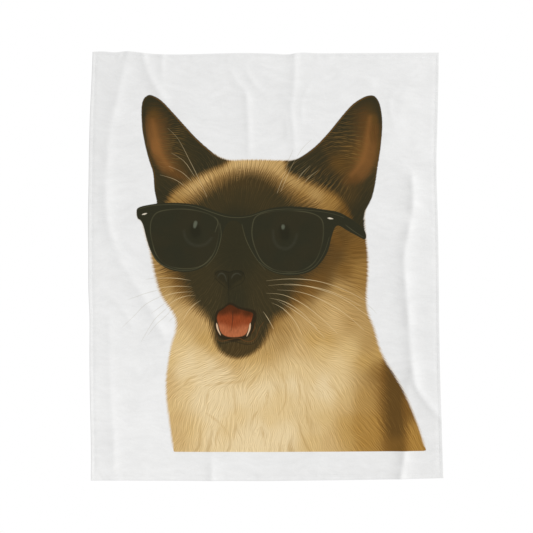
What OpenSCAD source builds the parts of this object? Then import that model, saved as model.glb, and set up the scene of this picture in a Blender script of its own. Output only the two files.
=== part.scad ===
// Velveteen plush throw with a printed cat portrait on its face.
// The throw hangs from its top edge: X runs to the right, Z up and the printed face looks along -Y.
// The origin is the middle of the top edge, in the plane where the pile stands on its knitted backing.

/* [Cloth] */
// Finished width
cloth_w = 1270; // [1250:1:1290]
// Finished height
cloth_h = 1524; // [1500:1:1550]
// Thickness of the knitted backing
backing_t = 0.8; // [0.5:0.1:1.2]
// Height of the pile that stands on the backing
pile_t = 2.2; // [1.5:0.1:3]

/* [Hem] */
// Width of the hem turned to the back
hem_w = 19; // [17:0.5:25]
// Distance of the outer row of stitching from the edge
row_inset = 10; // [6:0.5:10]
// Distance between the two rows of stitching
row_gap = 6.4; // [3.2:0.1:6.4]
// Width of a laid sewing thread
thread_w = 0.7; // [0.4:0.1:1]
// Height of a sewing thread above the cloth
thread_t = 0.4; // [0.2:0.1:0.6]

/* [Care label] */
// Length of the leaf, from the hem to its folded end
label_len = 38; // [25:1:60]
// Width of the label along the hem
label_w = 60; // [30:1:80]
// Thickness of the folded satin leaf
label_t = 0.6; // [0.4:0.1:0.8]
// Height of the middle of the label above the bottom edge
label_up = 124; // [80:1:300]

/* [Print] */
// Straight pieces between two neighbouring points of a curved outline
curve_steps = 3; // [2:1:4]
// Width of a whisker at its root
whisker_w = 2.4; // [1.5:0.1:3]
// Width of a whisker at its tip
whisker_tip = 1.2; // [0.8:0.1:1.5]

/* [Hidden] */

// Depths along Y, from the printed face to the back of the hem
face_y = -pile_t;
back_y = backing_t;
hem_t = backing_t + pile_t;
hem_back_y = back_y + hem_t;

// The label: its tail is caught under the right hem, and its leaf turns on the fold beside the hem
label_z = -cloth_h + label_up;
hem_edge_x = cloth_w / 2 - hem_w;
tail_caught = 10;
tail_out = 1;
leaf_clear = 0.3;
fold_gap = 0.8;
tail_t = leaf_clear + label_t;
fold_x = hem_edge_x - tail_out - fold_gap;
fold_y = back_y + leaf_clear + label_t / 2;

white = [0.93, 0.93, 0.94];
thread_white = [0.97, 0.97, 0.97];

// ---------------------------------------------------------------------------
// Outlines of the print, as points [x, z] in millimetres that smooth curves pass through.
// Left and right are as seen from the printed face.

flank_left = [
    [-327, -1421], [-334, -1378], [-344, -1307], [-353, -1236], [-355, -1164], [-347, -1100],
    [-336, -1040], [-322, -997], [-318, -958], [-329, -926], [-355, -890], [-376, -855],
    [-391, -808], [-402, -758], [-411, -712], [-416, -648], [-402, -577], [-387, -538]
];
edge_left_ear = [
    [-396, -488], [-401, -427], [-416, -381], [-431, -324], [-441, -264], [-444, -203],
    [-438, -167], [-420, -150], [-398, -153], [-369, -171], [-333, -208], [-289, -256],
    [-246, -302], [-203, -340], [-166, -367], [-123, -381]
];
edge_crown = [[-69, -380], [-7, -380], [58, -382]];
edge_right_ear = [
    [109, -380], [141, -365], [185, -333], [232, -285], [279, -228], [318, -185], [355, -160],
    [387, -150], [407, -160], [421, -189], [428, -239], [427, -285], [421, -345], [411, -410],
    [402, -470], [389, -520], [367, -563]
];
flank_right = [
    [364, -602], [369, -659], [376, -723], [376, -791], [371, -862], [376, -922], [398, -979],
    [416, -1043], [438, -1093], [470, -1143], [502, -1200], [532, -1268], [558, -1342], [581, -1421]
];
// Where the dark ears meet the cream head, and points well outside the ears that close them
left_ear_root = [
    [-122, -376], [-146, -398], [-186, -413], [-224, -430], [-263, -450], [-307, -477],
    [-336, -502], [-351, -531], [-376, -559]
];
left_ear_outside = [[-500, -580], [-500, -100], [-380, -100], [-100, -340]];
right_ear_root = [
    [390, -676], [352, -640], [322, -604], [306, -568], [289, -536], [258, -503], [210, -478], [158, -457],
    [118, -437], [84, -419], [80, -374]
];
right_ear_outside = [[65, -340], [350, -100], [500, -100], [500, -676]];
left_lining = [
    [-412, -192], [-391, -189], [-373, -217], [-365, -260], [-364, -303], [-358, -345],
    [-336, -381], [-308, -417], [-279, -447], [-311, -449], [-355, -431], [-387, -395],
    [-409, -345], [-423, -288], [-427, -231]
];
right_lining = [
    [376, -178], [398, -189], [412, -231], [414, -288], [407, -345], [394, -399], [369, -442],
    [333, -463], [293, -459], [315, -424], [344, -392], [358, -345], [351, -296], [346, -242],
    [357, -199]
];
face_mask = [
    [-277, -538], [-237, -512], [-182, -472], [-112, -434], [-38, -425], [23, -444], [72, -483],
    [131, -530], [185, -556], [228, -612], [239, -684], [212, -750],
    [165, -800], [125, -845], [98, -890], [72, -926], [38, -944], [22, -979], [5, -1018],
    [-22, -1054], [-58, -1077], [-98, -1086], [-137, -1075], [-166, -1050], [-181, -1011],
    [-188, -972], [-206, -940], [-237, -910], [-268, -878], [-292, -838], [-318, -790],
    [-352, -768], [-388, -717], [-398, -648], [-376, -577], [-304, -552]
];
saddle = [
    [442, -1096], [438, -1128], [436, -1164], [432, -1236], [434, -1307], [441, -1378],
    [449, -1449], [507, -1449], [507, -1378], [506, -1307], [503, -1250], [510, -1214],
    [519, -1164], [485, -1093]
];
nose = [
    [-181, -780], [-152, -772], [-123, -776], [-94, -772], [-69, -780], [-80, -805],
    [-109, -824], [-125, -848], [-141, -824], [-168, -805]
];
mouth = [
    [-174, -922], [-152, -908], [-123, -888], [-87, -904], [-36, -915], [-27, -937],
    [-33, -972], [-47, -1004], [-72, -1020], [-112, -1026], [-148, -1020], [-170, -1002],
    [-179, -969]
];
tongue = [
    [-171, -945], [-164, -922], [-148, -911], [-123, -895], [-94, -909], [-62, -918],
    [-40, -926], [-42, -944], [-50, -969], [-57, -990], [-72, -1006], [-98, -1012],
    [-130, -1011], [-152, -1000], [-163, -979]
];
left_tooth = [[-174, -957], [-168, -960], [-163, -982], [-153, -1004], [-163, -1002], [-171, -988]];
right_tooth = [[-50, -962], [-44, -966], [-46, -992], [-58, -1012], [-68, -1010], [-59, -990]];

// The glasses: brow line, right-hand arm, the lower rims with the bridge, and the left-hand end piece
glasses_outline = [
    [-458, -554], [-441, -546], [-412, -540], [-376, -535], [-322, -533], [-268, -537],
    [-221, -546], [-177, -562], [-134, -575], [-87, -580], [-47, -575], [-7, -561], [40, -550],
    [94, -546], [159, -550], [221, -558], [264, -565], [297, -580], [333, -603], [365, -634],
    [367, -664], [336, -650], [300, -631], [271, -614], [256, -622], [243, -659], [232, -702],
    [211, -739], [181, -769], [141, -786], [87, -792], [36, -782], [-4, -758], [-34, -723],
    [-57, -677], [-73, -627], [-92, -601], [-112, -596], [-131, -604], [-147, -633], [-159, -677],
    [-178, -719], [-210, -754], [-250, -775], [-300, -779], [-347, -768], [-387, -742],
    [-411, -702], [-425, -659], [-435, -618], [-445, -596], [-456, -589], [-460, -572]
];
left_lens = [
    [-407, -595], [-387, -568], [-340, -557], [-279, -556], [-221, -566], [-180, -584],
    [-163, -612], [-165, -655], [-178, -705], [-207, -746], [-250, -765], [-304, -767],
    [-355, -753], [-389, -719], [-405, -669], [-411, -630]
];
right_lens = [
    [-42, -616], [-31, -584], [4, -568], [65, -561], [130, -563], [181, -573], [210, -595],
    [215, -637], [208, -687], [186, -740], [145, -771], [90, -780], [33, -770], [-8, -741],
    [-32, -694], [-43, -652]
];
// Each end of the brow carries one silver rivet: [centre x, centre z, tilt in degrees]
rivets = [[-431, -572, 12], [241, -589, -6]];
rivet_len = 22;
rivet_w = 7;

// Whiskers, and the long hairs in front of the ears, each from its root to its tip
whiskers = [
    [[-260, -817], [-297, -805], [-340, -800], [-384, -803]],
    [[-253, -832], [-297, -831], [-347, -838], [-405, -853]],
    [[-253, -846], [-304, -848], [-355, -865], [-412, -897]],
    [[-246, -860], [-289, -864], [-333, -885], [-376, -929]],
    [[-228, -880], [-253, -896], [-275, -919], [-293, -951]],
    [[7, -812], [94, -804], [188, -810], [282, -839], [369, -880]],
    [[29, -831], [101, -823], [181, -830], [282, -865], [380, -912]],
    [[51, -843], [123, -846], [195, -865], [289, -919], [369, -981]],
    [[7, -855], [65, -858], [130, -887], [195, -937], [268, -1001]],
    [[18, -869], [72, -878], [130, -915], [188, -958], [235, -994]],
    [[33, -887], [80, -908], [127, -954], [170, -1015]],
    [[-4, -919], [14, -942], [33, -983]],
    [[-206, -513], [-250, -420], [-282, -349], [-315, -303], [-351, -267]],
    [[-250, -445], [-279, -406], [-308, -376], [-340, -356]],
    [[-271, -456], [-308, -424], [-347, -402]],
    [[-293, -470], [-336, -445], [-376, -434]],
    [[47, -500], [64, -455], [78, -421], [88, -384]],
    [[60, -495], [84, -438], [103, -398], [119, -369]],
    [[116, -445], [130, -424], [145, -410]],
    [[163, -474], [181, -458], [199, -449]]
];

// ---------------------------------------------------------------------------
// Curves

// Point at t, from 0 at b to 1 at c, on the smooth curve through a, b, c and d
function curve_point(a, b, c, d, t) =
    (2 * b + (c - a) * t + (2 * a - 5 * b + 4 * c - d) * t * t + (3 * b - a - 3 * c + d) * t * t * t) / 2;

// Smooth closed curve through the points p
function closed_curve(p, steps = curve_steps) =
    let (n = len(p))
    [
        for (i = [0:n - 1], s = [0:steps - 1])
            curve_point(p[(i + n - 1) % n], p[i], p[(i + 1) % n], p[(i + 2) % n], s / steps)
    ];

// Smooth open curve through the points p
function open_curve(p, steps = curve_steps) =
    let (last = len(p) - 1)
    [
        for (i = [0:last - 1], s = [0:steps - 1])
            curve_point(p[max(i - 1, 0)], p[i], p[i + 1], p[min(i + 2, last)], s / steps),
        p[last]
    ];

// Unit vector across the curve p at its point i
function across(p, i) =
    let (d = p[min(i + 1, len(p) - 1)] - p[max(i - 1, 0)])
    [-d[1], d[0]] / norm(d);

// Outline of a hair along the curve p, which narrows from its root to its tip
function hair_outline(p) =
    let (
        last = len(p) - 1,
        half = [for (i = [0:last]) (whisker_w + (whisker_tip - whisker_w) * i / last) / 2]
    )
    [
        for (i = [0:last]) p[i] + across(p, i) * half[i],
        for (i = [last:-1:0]) p[i] - across(p, i) * half[i]
    ];

// ---------------------------------------------------------------------------
// Flat shapes, drawn with Z as their second coordinate

module cloth_shape() {
    translate([-cloth_w / 2, -cloth_h]) square([cloth_w, cloth_h]);
}

module cat_shape() {
    polygon(open_curve(concat(flank_left, edge_left_ear, edge_crown, edge_right_ear, flank_right)));
}

module ear_shape(root, outside) {
    intersection() {
        cat_shape();
        polygon(concat(open_curve(root), outside));
    }
}

module glasses_shape() {
    polygon(closed_curve(glasses_outline));
}

module lens_shapes() {
    polygon(closed_curve(left_lens));
    polygon(closed_curve(right_lens));
}

module rivet_shapes() {
    for (r = rivets)
        translate([r[0], r[1]]) rotate(r[2]) square([rivet_len, rivet_w], center = true);
}

module whisker_shapes() {
    intersection() {
        cat_shape();
        union() {
            for (w = whiskers) polygon(hair_outline(open_curve(w)));
        }
    }
}

module teeth_shapes() {
    polygon(closed_curve(left_tooth));
    polygon(closed_curve(right_tooth));
}

module mouth_shape() {
    polygon(closed_curve(mouth));
}

// A band that runs all round the cloth, from one distance in from its edge to another
module edge_band(from, to) {
    difference() {
        translate([-cloth_w / 2 + from, -cloth_h + from]) square([cloth_w - 2 * from, cloth_h - 2 * from]);
        translate([-cloth_w / 2 + to, -cloth_h + to]) square([cloth_w - 2 * to, cloth_h - 2 * to]);
    }
}

// ---------------------------------------------------------------------------
// Layers

// Extrudes a flat shape along Y, from the depth front to the depth back
module layer(front, back) {
    translate([0, back, 0]) rotate([90, 0, 0]) linear_extrude(back - front) children();
}

// One zone of dyed pile, the full height of the pile
module pile(tint) {
    color(tint) layer(face_y, 0) children();
}

module knit_backing() {
    color(white) layer(0, back_y) cloth_shape();
}

module pile_ground() {
    pile(white) difference() {
        cloth_shape();
        cat_shape();
        glasses_shape();
    }
}

module print_coat() {
    pile([0.83, 0.70, 0.48]) difference() {
        cat_shape();
        polygon(concat(open_curve(left_ear_root), left_ear_outside));
        polygon(concat(open_curve(right_ear_root), right_ear_outside));
        polygon(closed_curve(face_mask));
        polygon(closed_curve(saddle));
        glasses_shape();
        whisker_shapes();
    }
}

module print_saddle() {
    pile([0.40, 0.29, 0.14]) intersection() {
        cat_shape();
        polygon(closed_curve(saddle));
    }
}

module print_mask() {
    pile([0.25, 0.21, 0.14]) difference() {
        polygon(closed_curve(face_mask));
        glasses_shape();
        whisker_shapes();
        polygon(closed_curve(nose));
        mouth_shape();
    }
}

module print_ear(root, outside, lining) {
    pile([0.22, 0.19, 0.12]) difference() {
        ear_shape(root, outside);
        polygon(closed_curve(lining));
        glasses_shape();
        whisker_shapes();
    }
}

module print_left_ear() {
    print_ear(left_ear_root, left_ear_outside, left_lining);
}

module print_right_ear() {
    print_ear(right_ear_root, right_ear_outside, right_lining);
}

module print_lining(lining) {
    pile([0.49, 0.32, 0.17]) difference() {
        polygon(closed_curve(lining));
        whisker_shapes();
    }
}

module print_left_ear_lining() {
    print_lining(left_lining);
}

module print_right_ear_lining() {
    print_lining(right_lining);
}

module print_nose() {
    pile([0.17, 0.15, 0.11]) polygon(closed_curve(nose));
}

module print_mouth() {
    pile([0.20, 0.14, 0.09]) difference() {
        mouth_shape();
        polygon(closed_curve(tongue));
        teeth_shapes();
    }
}

module print_tongue() {
    pile([0.75, 0.36, 0.25]) difference() {
        polygon(closed_curve(tongue));
        teeth_shapes();
    }
}

module print_teeth() {
    pile([0.90, 0.87, 0.76]) teeth_shapes();
}

module print_whiskers() {
    pile([0.86, 0.77, 0.60]) whisker_shapes();
}

module print_glasses_frame() {
    pile([0.19, 0.19, 0.13]) difference() {
        glasses_shape();
        lens_shapes();
        rivet_shapes();
    }
}

module print_left_lens() {
    pile([0.15, 0.14, 0.10]) polygon(closed_curve(left_lens));
}

module print_right_lens() {
    pile([0.15, 0.14, 0.10]) polygon(closed_curve(right_lens));
}

module print_rivets() {
    pile([0.70, 0.70, 0.66]) rivet_shapes();
}

// Corners of the hem, from the bottom left of the printed face anticlockwise: outside and inside
hem_outside = [[-cloth_w / 2, -cloth_h], [cloth_w / 2, -cloth_h], [cloth_w / 2, 0], [-cloth_w / 2, 0]];
hem_inside = [
    [-hem_edge_x, -cloth_h + hem_w], [hem_edge_x, -cloth_h + hem_w],
    [hem_edge_x, -hem_w], [-hem_edge_x, -hem_w]
];

// One side of the hem, from its corner i to the next: the cloth turned to the back, mitred at its ends
module hem_strip(i) {
    color(white) layer(back_y, hem_back_y)
        polygon([hem_outside[i], hem_outside[(i + 1) % 4], hem_inside[(i + 1) % 4], hem_inside[i]]);
}

module hem_bottom() {
    hem_strip(0);
}

// The right hem has a pocket for the tail of the care label
module hem_right() {
    difference() {
        hem_strip(1);
        label_tail_block();
    }
}

module hem_top() {
    hem_strip(2);
}

module hem_left() {
    hem_strip(3);
}

module needle_thread(inset) {
    color(thread_white) layer(face_y - thread_t, face_y)
        edge_band(inset - thread_w / 2, inset + thread_w / 2);
}

module needle_thread_outer() {
    needle_thread(row_inset);
}

module needle_thread_inner() {
    needle_thread(row_inset + row_gap);
}

// The looper thread crosses between the two rows on the back of the hem
module looper_thread() {
    color(thread_white) layer(hem_back_y, hem_back_y + thread_t)
        edge_band(row_inset - thread_w / 2, row_inset + row_gap + thread_w / 2);
}

module label_tail_block() {
    translate([hem_edge_x - tail_out, back_y, label_z - label_w / 2])
        cube([tail_out + tail_caught, tail_t, label_w]);
}

module care_label_tail() {
    color(thread_white) label_tail_block();
}

// The free leaf of the label turns about the vertical line through fold_x and fold_y
module care_label() {
    color(thread_white)
        translate([fold_x - leaf_clear - label_len, fold_y - label_t / 2, label_z - label_w / 2])
            cube([label_len, label_t, label_w]);
}

knit_backing();
pile_ground();
print_coat();
print_saddle();
print_mask();
print_left_ear();
print_right_ear();
print_left_ear_lining();
print_right_ear_lining();
print_nose();
print_mouth();
print_tongue();
print_teeth();
print_whiskers();
print_glasses_frame();
print_left_lens();
print_right_lens();
print_rivets();
hem_top();
hem_bottom();
hem_left();
hem_right();
needle_thread_outer();
needle_thread_inner();
looper_thread();
care_label_tail();
care_label();
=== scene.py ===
"""Printed velveteen plush throw, hanging by its top edge.

The throw is a face of pile that carries the print, a knitted backing, a hem turned to the back, three sewing
threads and a care label. Every piece but the care label follows one shape of hanging cloth, given by place().
The print is drawn by the face's material from distances to the outlines of the CAD's printed zones.
"""

import bpy
import math
import numpy as np
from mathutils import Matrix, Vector


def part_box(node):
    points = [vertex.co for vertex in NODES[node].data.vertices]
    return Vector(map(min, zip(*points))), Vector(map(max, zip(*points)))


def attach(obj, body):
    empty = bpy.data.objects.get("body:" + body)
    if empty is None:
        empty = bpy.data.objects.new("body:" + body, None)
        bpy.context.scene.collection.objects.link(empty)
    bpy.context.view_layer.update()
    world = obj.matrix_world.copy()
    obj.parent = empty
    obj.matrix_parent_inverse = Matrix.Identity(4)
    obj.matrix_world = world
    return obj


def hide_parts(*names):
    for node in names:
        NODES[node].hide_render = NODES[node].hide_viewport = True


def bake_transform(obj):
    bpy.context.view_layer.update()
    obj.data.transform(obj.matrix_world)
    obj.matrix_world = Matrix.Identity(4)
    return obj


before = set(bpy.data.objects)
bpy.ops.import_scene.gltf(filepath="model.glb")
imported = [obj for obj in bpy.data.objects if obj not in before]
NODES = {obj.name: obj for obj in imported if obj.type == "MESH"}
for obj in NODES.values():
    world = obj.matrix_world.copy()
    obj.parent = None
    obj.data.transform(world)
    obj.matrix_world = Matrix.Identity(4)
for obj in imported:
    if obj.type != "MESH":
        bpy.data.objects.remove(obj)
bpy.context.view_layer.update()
MM = 0.001

# --------------------------------------------------------------------------------------------------
# Sizes, from the frame

CLOTH_LOW, CLOTH_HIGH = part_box("knit_backing")
HALF_W = CLOTH_HIGH.x
HEIGHT = -CLOTH_LOW.z
BACK_Y = CLOTH_HIGH.y
FACE_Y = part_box("pile_ground")[0].y
HEM_BACK_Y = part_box("hem_top")[1].y
THREAD_T = FACE_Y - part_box("needle_thread_outer")[0].y
ROW_OUTER = -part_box("needle_thread_outer")[1].z
ROW_INNER = -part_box("needle_thread_inner")[1].z
LABEL_LOW, LABEL_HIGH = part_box("care_label")
# How far in from its edge the cloth starts to roll over into the hem
EDGE_ROLL = 3 * MM
THREAD_W = 0.7 * MM
# The cloth's half width and height, and the middle of the two rows of stitching, in millimetres
HALF_W_MM = round(HALF_W / MM, 3)
HEIGHT_MM = round(HEIGHT / MM, 3)
SEAM_MM = round((ROW_OUTER + ROW_INNER + THREAD_W) / 2 / MM, 3)

# --------------------------------------------------------------------------------------------------
# The shape of the hanging cloth, in millimetres of the flat cloth

# The folds draw the cloth in sideways and its own weight stretches it downwards
DRAWN_IN = 0.991
STRETCHED = 1.0067

# How far the left and right edges stand outwards of that, from the bottom up: (height, shift)
LEFT_EDGE = [(-1524, -9), (-1420, -9.5), (-1300, -7.5), (-1180, -5), (-1060, -4), (-940, -4), (-850, 0),
             (-700, 1), (-580, 2), (-460, 0), (-340, -1.5), (-220, -4.5), (-100, -10), (0, -14)]
RIGHT_EDGE = [(-1524, 15), (-1440, 12.5), (-1340, 9.5), (-1240, 6.5), (-1140, 3.5), (-1040, 1.5),
              (-920, -0.3), (-780, -1), (-640, -3), (-520, -6), (-400, -9), (-280, -6.2), (-140, -2.6),
              (0, -0.3)]
# How far the top and bottom edges stand upwards, from left to right: (across, shift)
TOP_EDGE = [(-635, 6), (-590, 7), (-545, 3.5), (-495, 7), (-445, 2), (-395, -3), (-330, -5), (-250, -4),
            (-150, -1.2), (-40, -0.2), (30, -2.5), (95, -4.5), (125, 0.5), (200, -1), (330, -0.3),
            (460, 0.6), (570, 2), (635, 3)]
BOTTOM_EDGE = [(-635, 2), (-560, 2), (-450, 1.3), (-330, 0.6), (-220, -0.6), (-110, -0.6), (0, -1.2),
               (110, 0.2), (250, 2), (390, 4.6), (510, 7.5), (635, 11)]

# How far inwards those shifts reach
SIDE_REACH = 90
TOP_REACH = 70
BOTTOM_REACH = 130

# How far the cloth leans back: (in its middle, and how much more at its sides), at its top and at its
# bottom, and the heights between which the one turns into the other
LEAN_TOP = (-3, 9)
LEAN_BOTTOM = (8.8, -10)
LEAN_TURNS = (200, 1330)

# Ridges that stand out of the face: (height, width of the left flank, width of the right flank,
# softness of the crest, line along the crest)
RIDGES = [
    (2.2, 27, 18, 8, [(-480, 60), (-500, -20), (-521, -102), (-539, -189), (-557, -256), (-566, -360),
                      (-572, -488), (-562, -612), (-528, -719), (-478, -808), (-420, -897), (-340, -1060)]),
    (1.9, 18, 12, 7, [(-452, 60), (-436, -20), (-412, -85), (-372, -150), (-330, -190)]),
    (1.8, 16, 11, 5, [(-366, 60), (-369, -40), (-366, -118)]),
    (1.6, 16, 11, 5, [(-66, -110), (-62, -180), (-56, -260), (-54, -390)]),
    (2.4, 20, 14, 5, [(112, 60), (112, -60), (106, -140), (98, -200), (108, -300), (112, -400)]),
    (1.8, 46, 31, 22, [(545, -20), (492, -203), (449, -310), (420, -400)]),
    (4.4, 23, 20, 6, [(548, -1215), (541, -1160), (533, -1100), (527, -1040), (521, -933), (512, -830),
                      (507, -730), (517, -666), (528, -612), (539, -552), (541, -495), (534, -400)]),
    (2.5, 15, 16, 5, [(665, -1346), (615, -1285), (582, -1242), (552, -1196), (530, -1141)]),
    (1.6, 22, 14, 8, [(535, -1100), (520, -1190), (524, -1260)]),
    (5.6, 24, 16, 5, [(488, -1600), (493, -1510), (504, -1440), (508, -1350)]),
    (1.9, 18, 12, 4, [(486, -1640), (491, -1540), (496, -1470)]),
    (1.5, 20, 14, 6, [(-545, -1600), (-546, -1390), (-556, -1236), (-560, -1050), (-563, -900)]),
    (1.5, 16, 11, 5, [(-188, -1600), (-190, -1390)]),
    (1.0, 12, 8, 4, [(-72, -15), (-63, -66), (-27, -119), (18, -146), (72, -150), (95, -185)]),
    (0.9, 11, 7, 4, [(60, -195), (78, -235), (84, -290), (78, -330)]),
    (0.8, 12, 8, 4, [(-140, -40), (-100, -95), (-62, -150), (-40, -215)]),
    (0.7, 11, 7, 4, [(190, -90), (150, -140), (135, -210), (150, -280)]),
    (0.7, 12, 8, 4, [(240, -45), (300, -85), (370, -95), (430, -130)]),
    (0.8, 12, 8, 4, [(520, -90), (470, -140), (455, -200), (480, -270)]),
    (0.6, 11, 7, 4, [(-520, -640), (-480, -690), (-430, -700)]),
    (0.7, 12, 8, 4, [(-600, -820), (-560, -860), (-500, -930), (-470, -1010)]),
    (0.6, 12, 8, 4, [(-18, -93), (45, -101), (99, -101)]),
    (0.5, 11, 7, 4, [(-199, -119), (-118, -101), (-63, -137)]),
    (0.5, 11, 7, 4, [(-271, -226), (-181, -235), (-109, -217), (-72, -182)]),
    (0.5, 12, 8, 4, [(-335, -199), (-244, -173), (-145, -137)]),
    (1.1, 14, 9, 5, [(425, -392), (470, -398), (515, -402), (545, -430)]),
    (0.6, 14, 9, 5, [(560, -880), (600, -912), (650, -900)]),
]
# Ridges fade in over this length at each end, and they are this much higher than in the table
RIDGE_END = 60
RIDGE_GAIN = 1.35
# How unevenly they run, in height and then in width: (share, length of the waves, seed)
RIDGE_WAVES = [(0.4, 46, 31), (0.2, 60, 32)]
# Each ridge takes its waves from a lane of the noise, this far from the next one's
LANE = 50

# Crumpling of the pile: (height, size across, size up, seed)
RIPPLES = [(0.6, 110, 70, 11), (0.35, 46, 30, 12), (1.5, 330, 420, 13)]

# The seam's groove, and the puckers along it
GROOVE_DEPTH = 0.55
GROOVE_W = 4.5
PUCKER_DEPTH = 0.35
PUCKER_W = 12
PUCKER_LEN = 16
PUCKER_INSET = 14
PUCKER_SEED = 21

# The cloth hangs flat around the middle of its care label: (x, z), and for how far
LABEL_REST = (595, -1400)
LABEL_REST_REACH = 60


def smooth(points, at):
    """Smooth curve through listed points (position, value), held level past its ends."""
    xs, vs = np.array(points, float).T
    at = np.clip(at, xs[0], xs[-1])
    i = np.clip(np.searchsorted(xs, at, side="right") - 1, 0, len(xs) - 2)
    step = xs[i + 1] - xs[i]
    t = (at - xs[i]) / step
    slope = np.gradient(vs, xs)
    rise = vs[i + 1] - vs[i]
    return (
        vs[i]
        + t * step * slope[i]
        + t * t * (3 * rise - step * (2 * slope[i] + slope[i + 1]))
        + t * t * t * (step * (slope[i] + slope[i + 1]) - 2 * rise)
    )


def ramp(at, low, high):
    """0 below low, 1 above high, and a smooth rise between them."""
    t = np.clip((at - low) / (high - low), 0, 1)
    return t * t * (3 - 2 * t)


def bumps(x, z, across, up, seed):
    """Smooth noise from -1 to 1 whose bumps are about across by up in size."""
    lattice = np.random.default_rng(seed).uniform(-1, 1, (160, 160))
    u, v = x / across + 40, z / up + 140
    i, j = np.floor(u).astype(int), np.floor(v).astype(int)
    s, t = ramp(u - i, 0, 1), ramp(v - j, 0, 1)
    i, j = i % 159, j % 159
    low = lattice[i, j] * (1 - s) + lattice[i + 1, j] * s
    high = lattice[i, j + 1] * (1 - s) + lattice[i + 1, j + 1] * s
    return low * (1 - t) + high * t


def curve(points, steps=5):
    """Points along the smooth curve that passes through the given ones."""
    p = np.array([points[0], *points, points[-1]], float)
    t = np.linspace(0, 1, steps, endpoint=False)[:, None]
    parts = [
        (2 * b + (c - a) * t + (2 * a - 5 * b + 4 * c - d) * t**2 + (3 * b - a - 3 * c + d) * t**3) / 2
        for a, b, c, d in zip(p, p[1:], p[2:], p[3:])
    ]
    return np.concatenate([*parts, p[-1:]])


def along_curve(points, line):
    """For each point: its distance from the line, its side distance, how far along the line it is,
    and how far it is past an end."""
    gap = np.full(len(points), 1e9)
    side, run, past = np.zeros(len(points)), np.zeros(len(points)), np.zeros(len(points))
    gone = 0.0
    last = len(line) - 2
    for k, (start, end) in enumerate(zip(line, line[1:])):
        length = np.hypot(*(end - start))
        unit = (end - start) / max(length, 1e-9)
        reach = points - start
        ahead = reach @ unit
        off = reach @ np.array([-unit[1], unit[0]])
        held = np.clip(ahead, 0, length)
        here = np.hypot(ahead - held, off)
        near = here < gap
        gap = np.where(near, here, gap)
        side = np.where(near, off, side)
        run = np.where(near, gone + held, run)
        over = (k == 0) * np.maximum(-ahead, 0) + (k == last) * np.maximum(ahead - length, 0)
        past = np.where(near, over, past)
        gone += length
    return gap, side, run, past, gone


def relief(x, z):
    """Depth of the hanging cloth behind the flat one, for points of the flat cloth in millimetres."""
    aside = (x / HALF_W_MM) ** 2
    lower = ramp(-z, *LEAN_TURNS)
    lean_top, lean_bottom = (middle + more * aside for middle, more in (LEAN_TOP, LEAN_BOTTOM))
    depth = lean_top * (1 - lower) + lean_bottom * lower
    folds = np.zeros(len(x))
    points = np.stack([x, z], axis=1)
    for number, (height, left, right, soft, through) in enumerate(RIDGES):
        line = curve(through)
        if line[0, 1] < line[-1, 1]:
            line = line[::-1]
        reach = 4 * max(left, right) + 2 * soft
        near = np.nonzero(
            (x > line[:, 0].min() - reach) & (x < line[:, 0].max() + reach)
            & (z > line[:, 1].min() - reach) & (z < line[:, 1].max() + reach)
        )[0]
        gap, side, run, past, whole = along_curve(points[near], line)
        ends = ramp(run, 0, RIDGE_END) * ramp(whole - run, 0, RIDGE_END)
        lane = np.full(len(run), LANE * number)
        uneven, wander = (1 + share * bumps(run, lane, size, LANE, seed) for share, size, seed in RIDGE_WAVES)
        wide = np.where(side < 0, left, right) * wander
        fall = np.exp(-(np.sqrt(gap**2 + soft**2) - soft) / wide)
        folds[near] += RIDGE_GAIN * height * ends * uneven * fall * (past < reach)
    for height, across, up, seed in RIPPLES:
        folds += height * bumps(x, z, across, up, seed)
    calm = np.hypot(x - LABEL_REST[0], z - LABEL_REST[1])
    return depth - folds * ramp(calm, LABEL_REST_REACH / 2, LABEL_REST_REACH)


def hem_pull(x, z):
    """Depth of the groove and the puckers that the hem's stitching pulls into the cloth."""
    from_side = HALF_W_MM - np.abs(x)
    from_end = np.minimum(-z, z + HEIGHT_MM)
    inset = np.minimum(from_side, from_end)
    along = np.where(from_side < from_end, z, x)
    groove = GROOVE_DEPTH * np.exp(-(((inset - SEAM_MM) / GROOVE_W) ** 2))
    pucker = PUCKER_DEPTH * np.exp(-(((inset - PUCKER_INSET) / PUCKER_W) ** 2))
    return groove + pucker * bumps(along, np.zeros(len(along)), PUCKER_LEN, LANE, PUCKER_SEED)


def place(x, z, depth):
    """Where a point of the flat cloth hangs. All in metres; depth is measured back from the pile's root."""
    x, z = x / MM, z / MM
    out = np.exp(-(HALF_W_MM - np.abs(x)) / SIDE_REACH)
    side = np.where(x < 0, -smooth(LEFT_EDGE, z), smooth(RIGHT_EDGE, z))
    lift = smooth(TOP_EDGE, x) * np.exp(z / TOP_REACH)
    lift = lift + smooth(BOTTOM_EDGE, x) * np.exp(-(z + HEIGHT_MM) / BOTTOM_REACH)
    shown_x = x * DRAWN_IN + side * out
    shown_z = z * STRETCHED + lift
    shown_y = relief(x, z) + hem_pull(x, z) + depth / MM
    return np.stack([shown_x, shown_y, shown_z], axis=-1) * MM


# --------------------------------------------------------------------------------------------------
# Meshes


# Edges that turn by more than this many degrees look sharp
SHARP_ANGLE = 50


def make(name, points, faces, material, smooth_faces=True):
    """A mesh object of this name in the scene."""
    mesh = bpy.data.meshes.new(name)
    mesh.from_pydata([tuple(p) for p in points], [], faces)
    mesh.update()
    mesh.materials.append(material)
    mesh.polygons.foreach_set("use_smooth", [smooth_faces] * len(mesh.polygons))
    mesh.set_sharp_from_angle(angle=math.radians(SHARP_ANGLE))
    piece = bpy.data.objects.new(name, mesh)
    bpy.context.scene.collection.objects.link(piece)
    return piece


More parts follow.
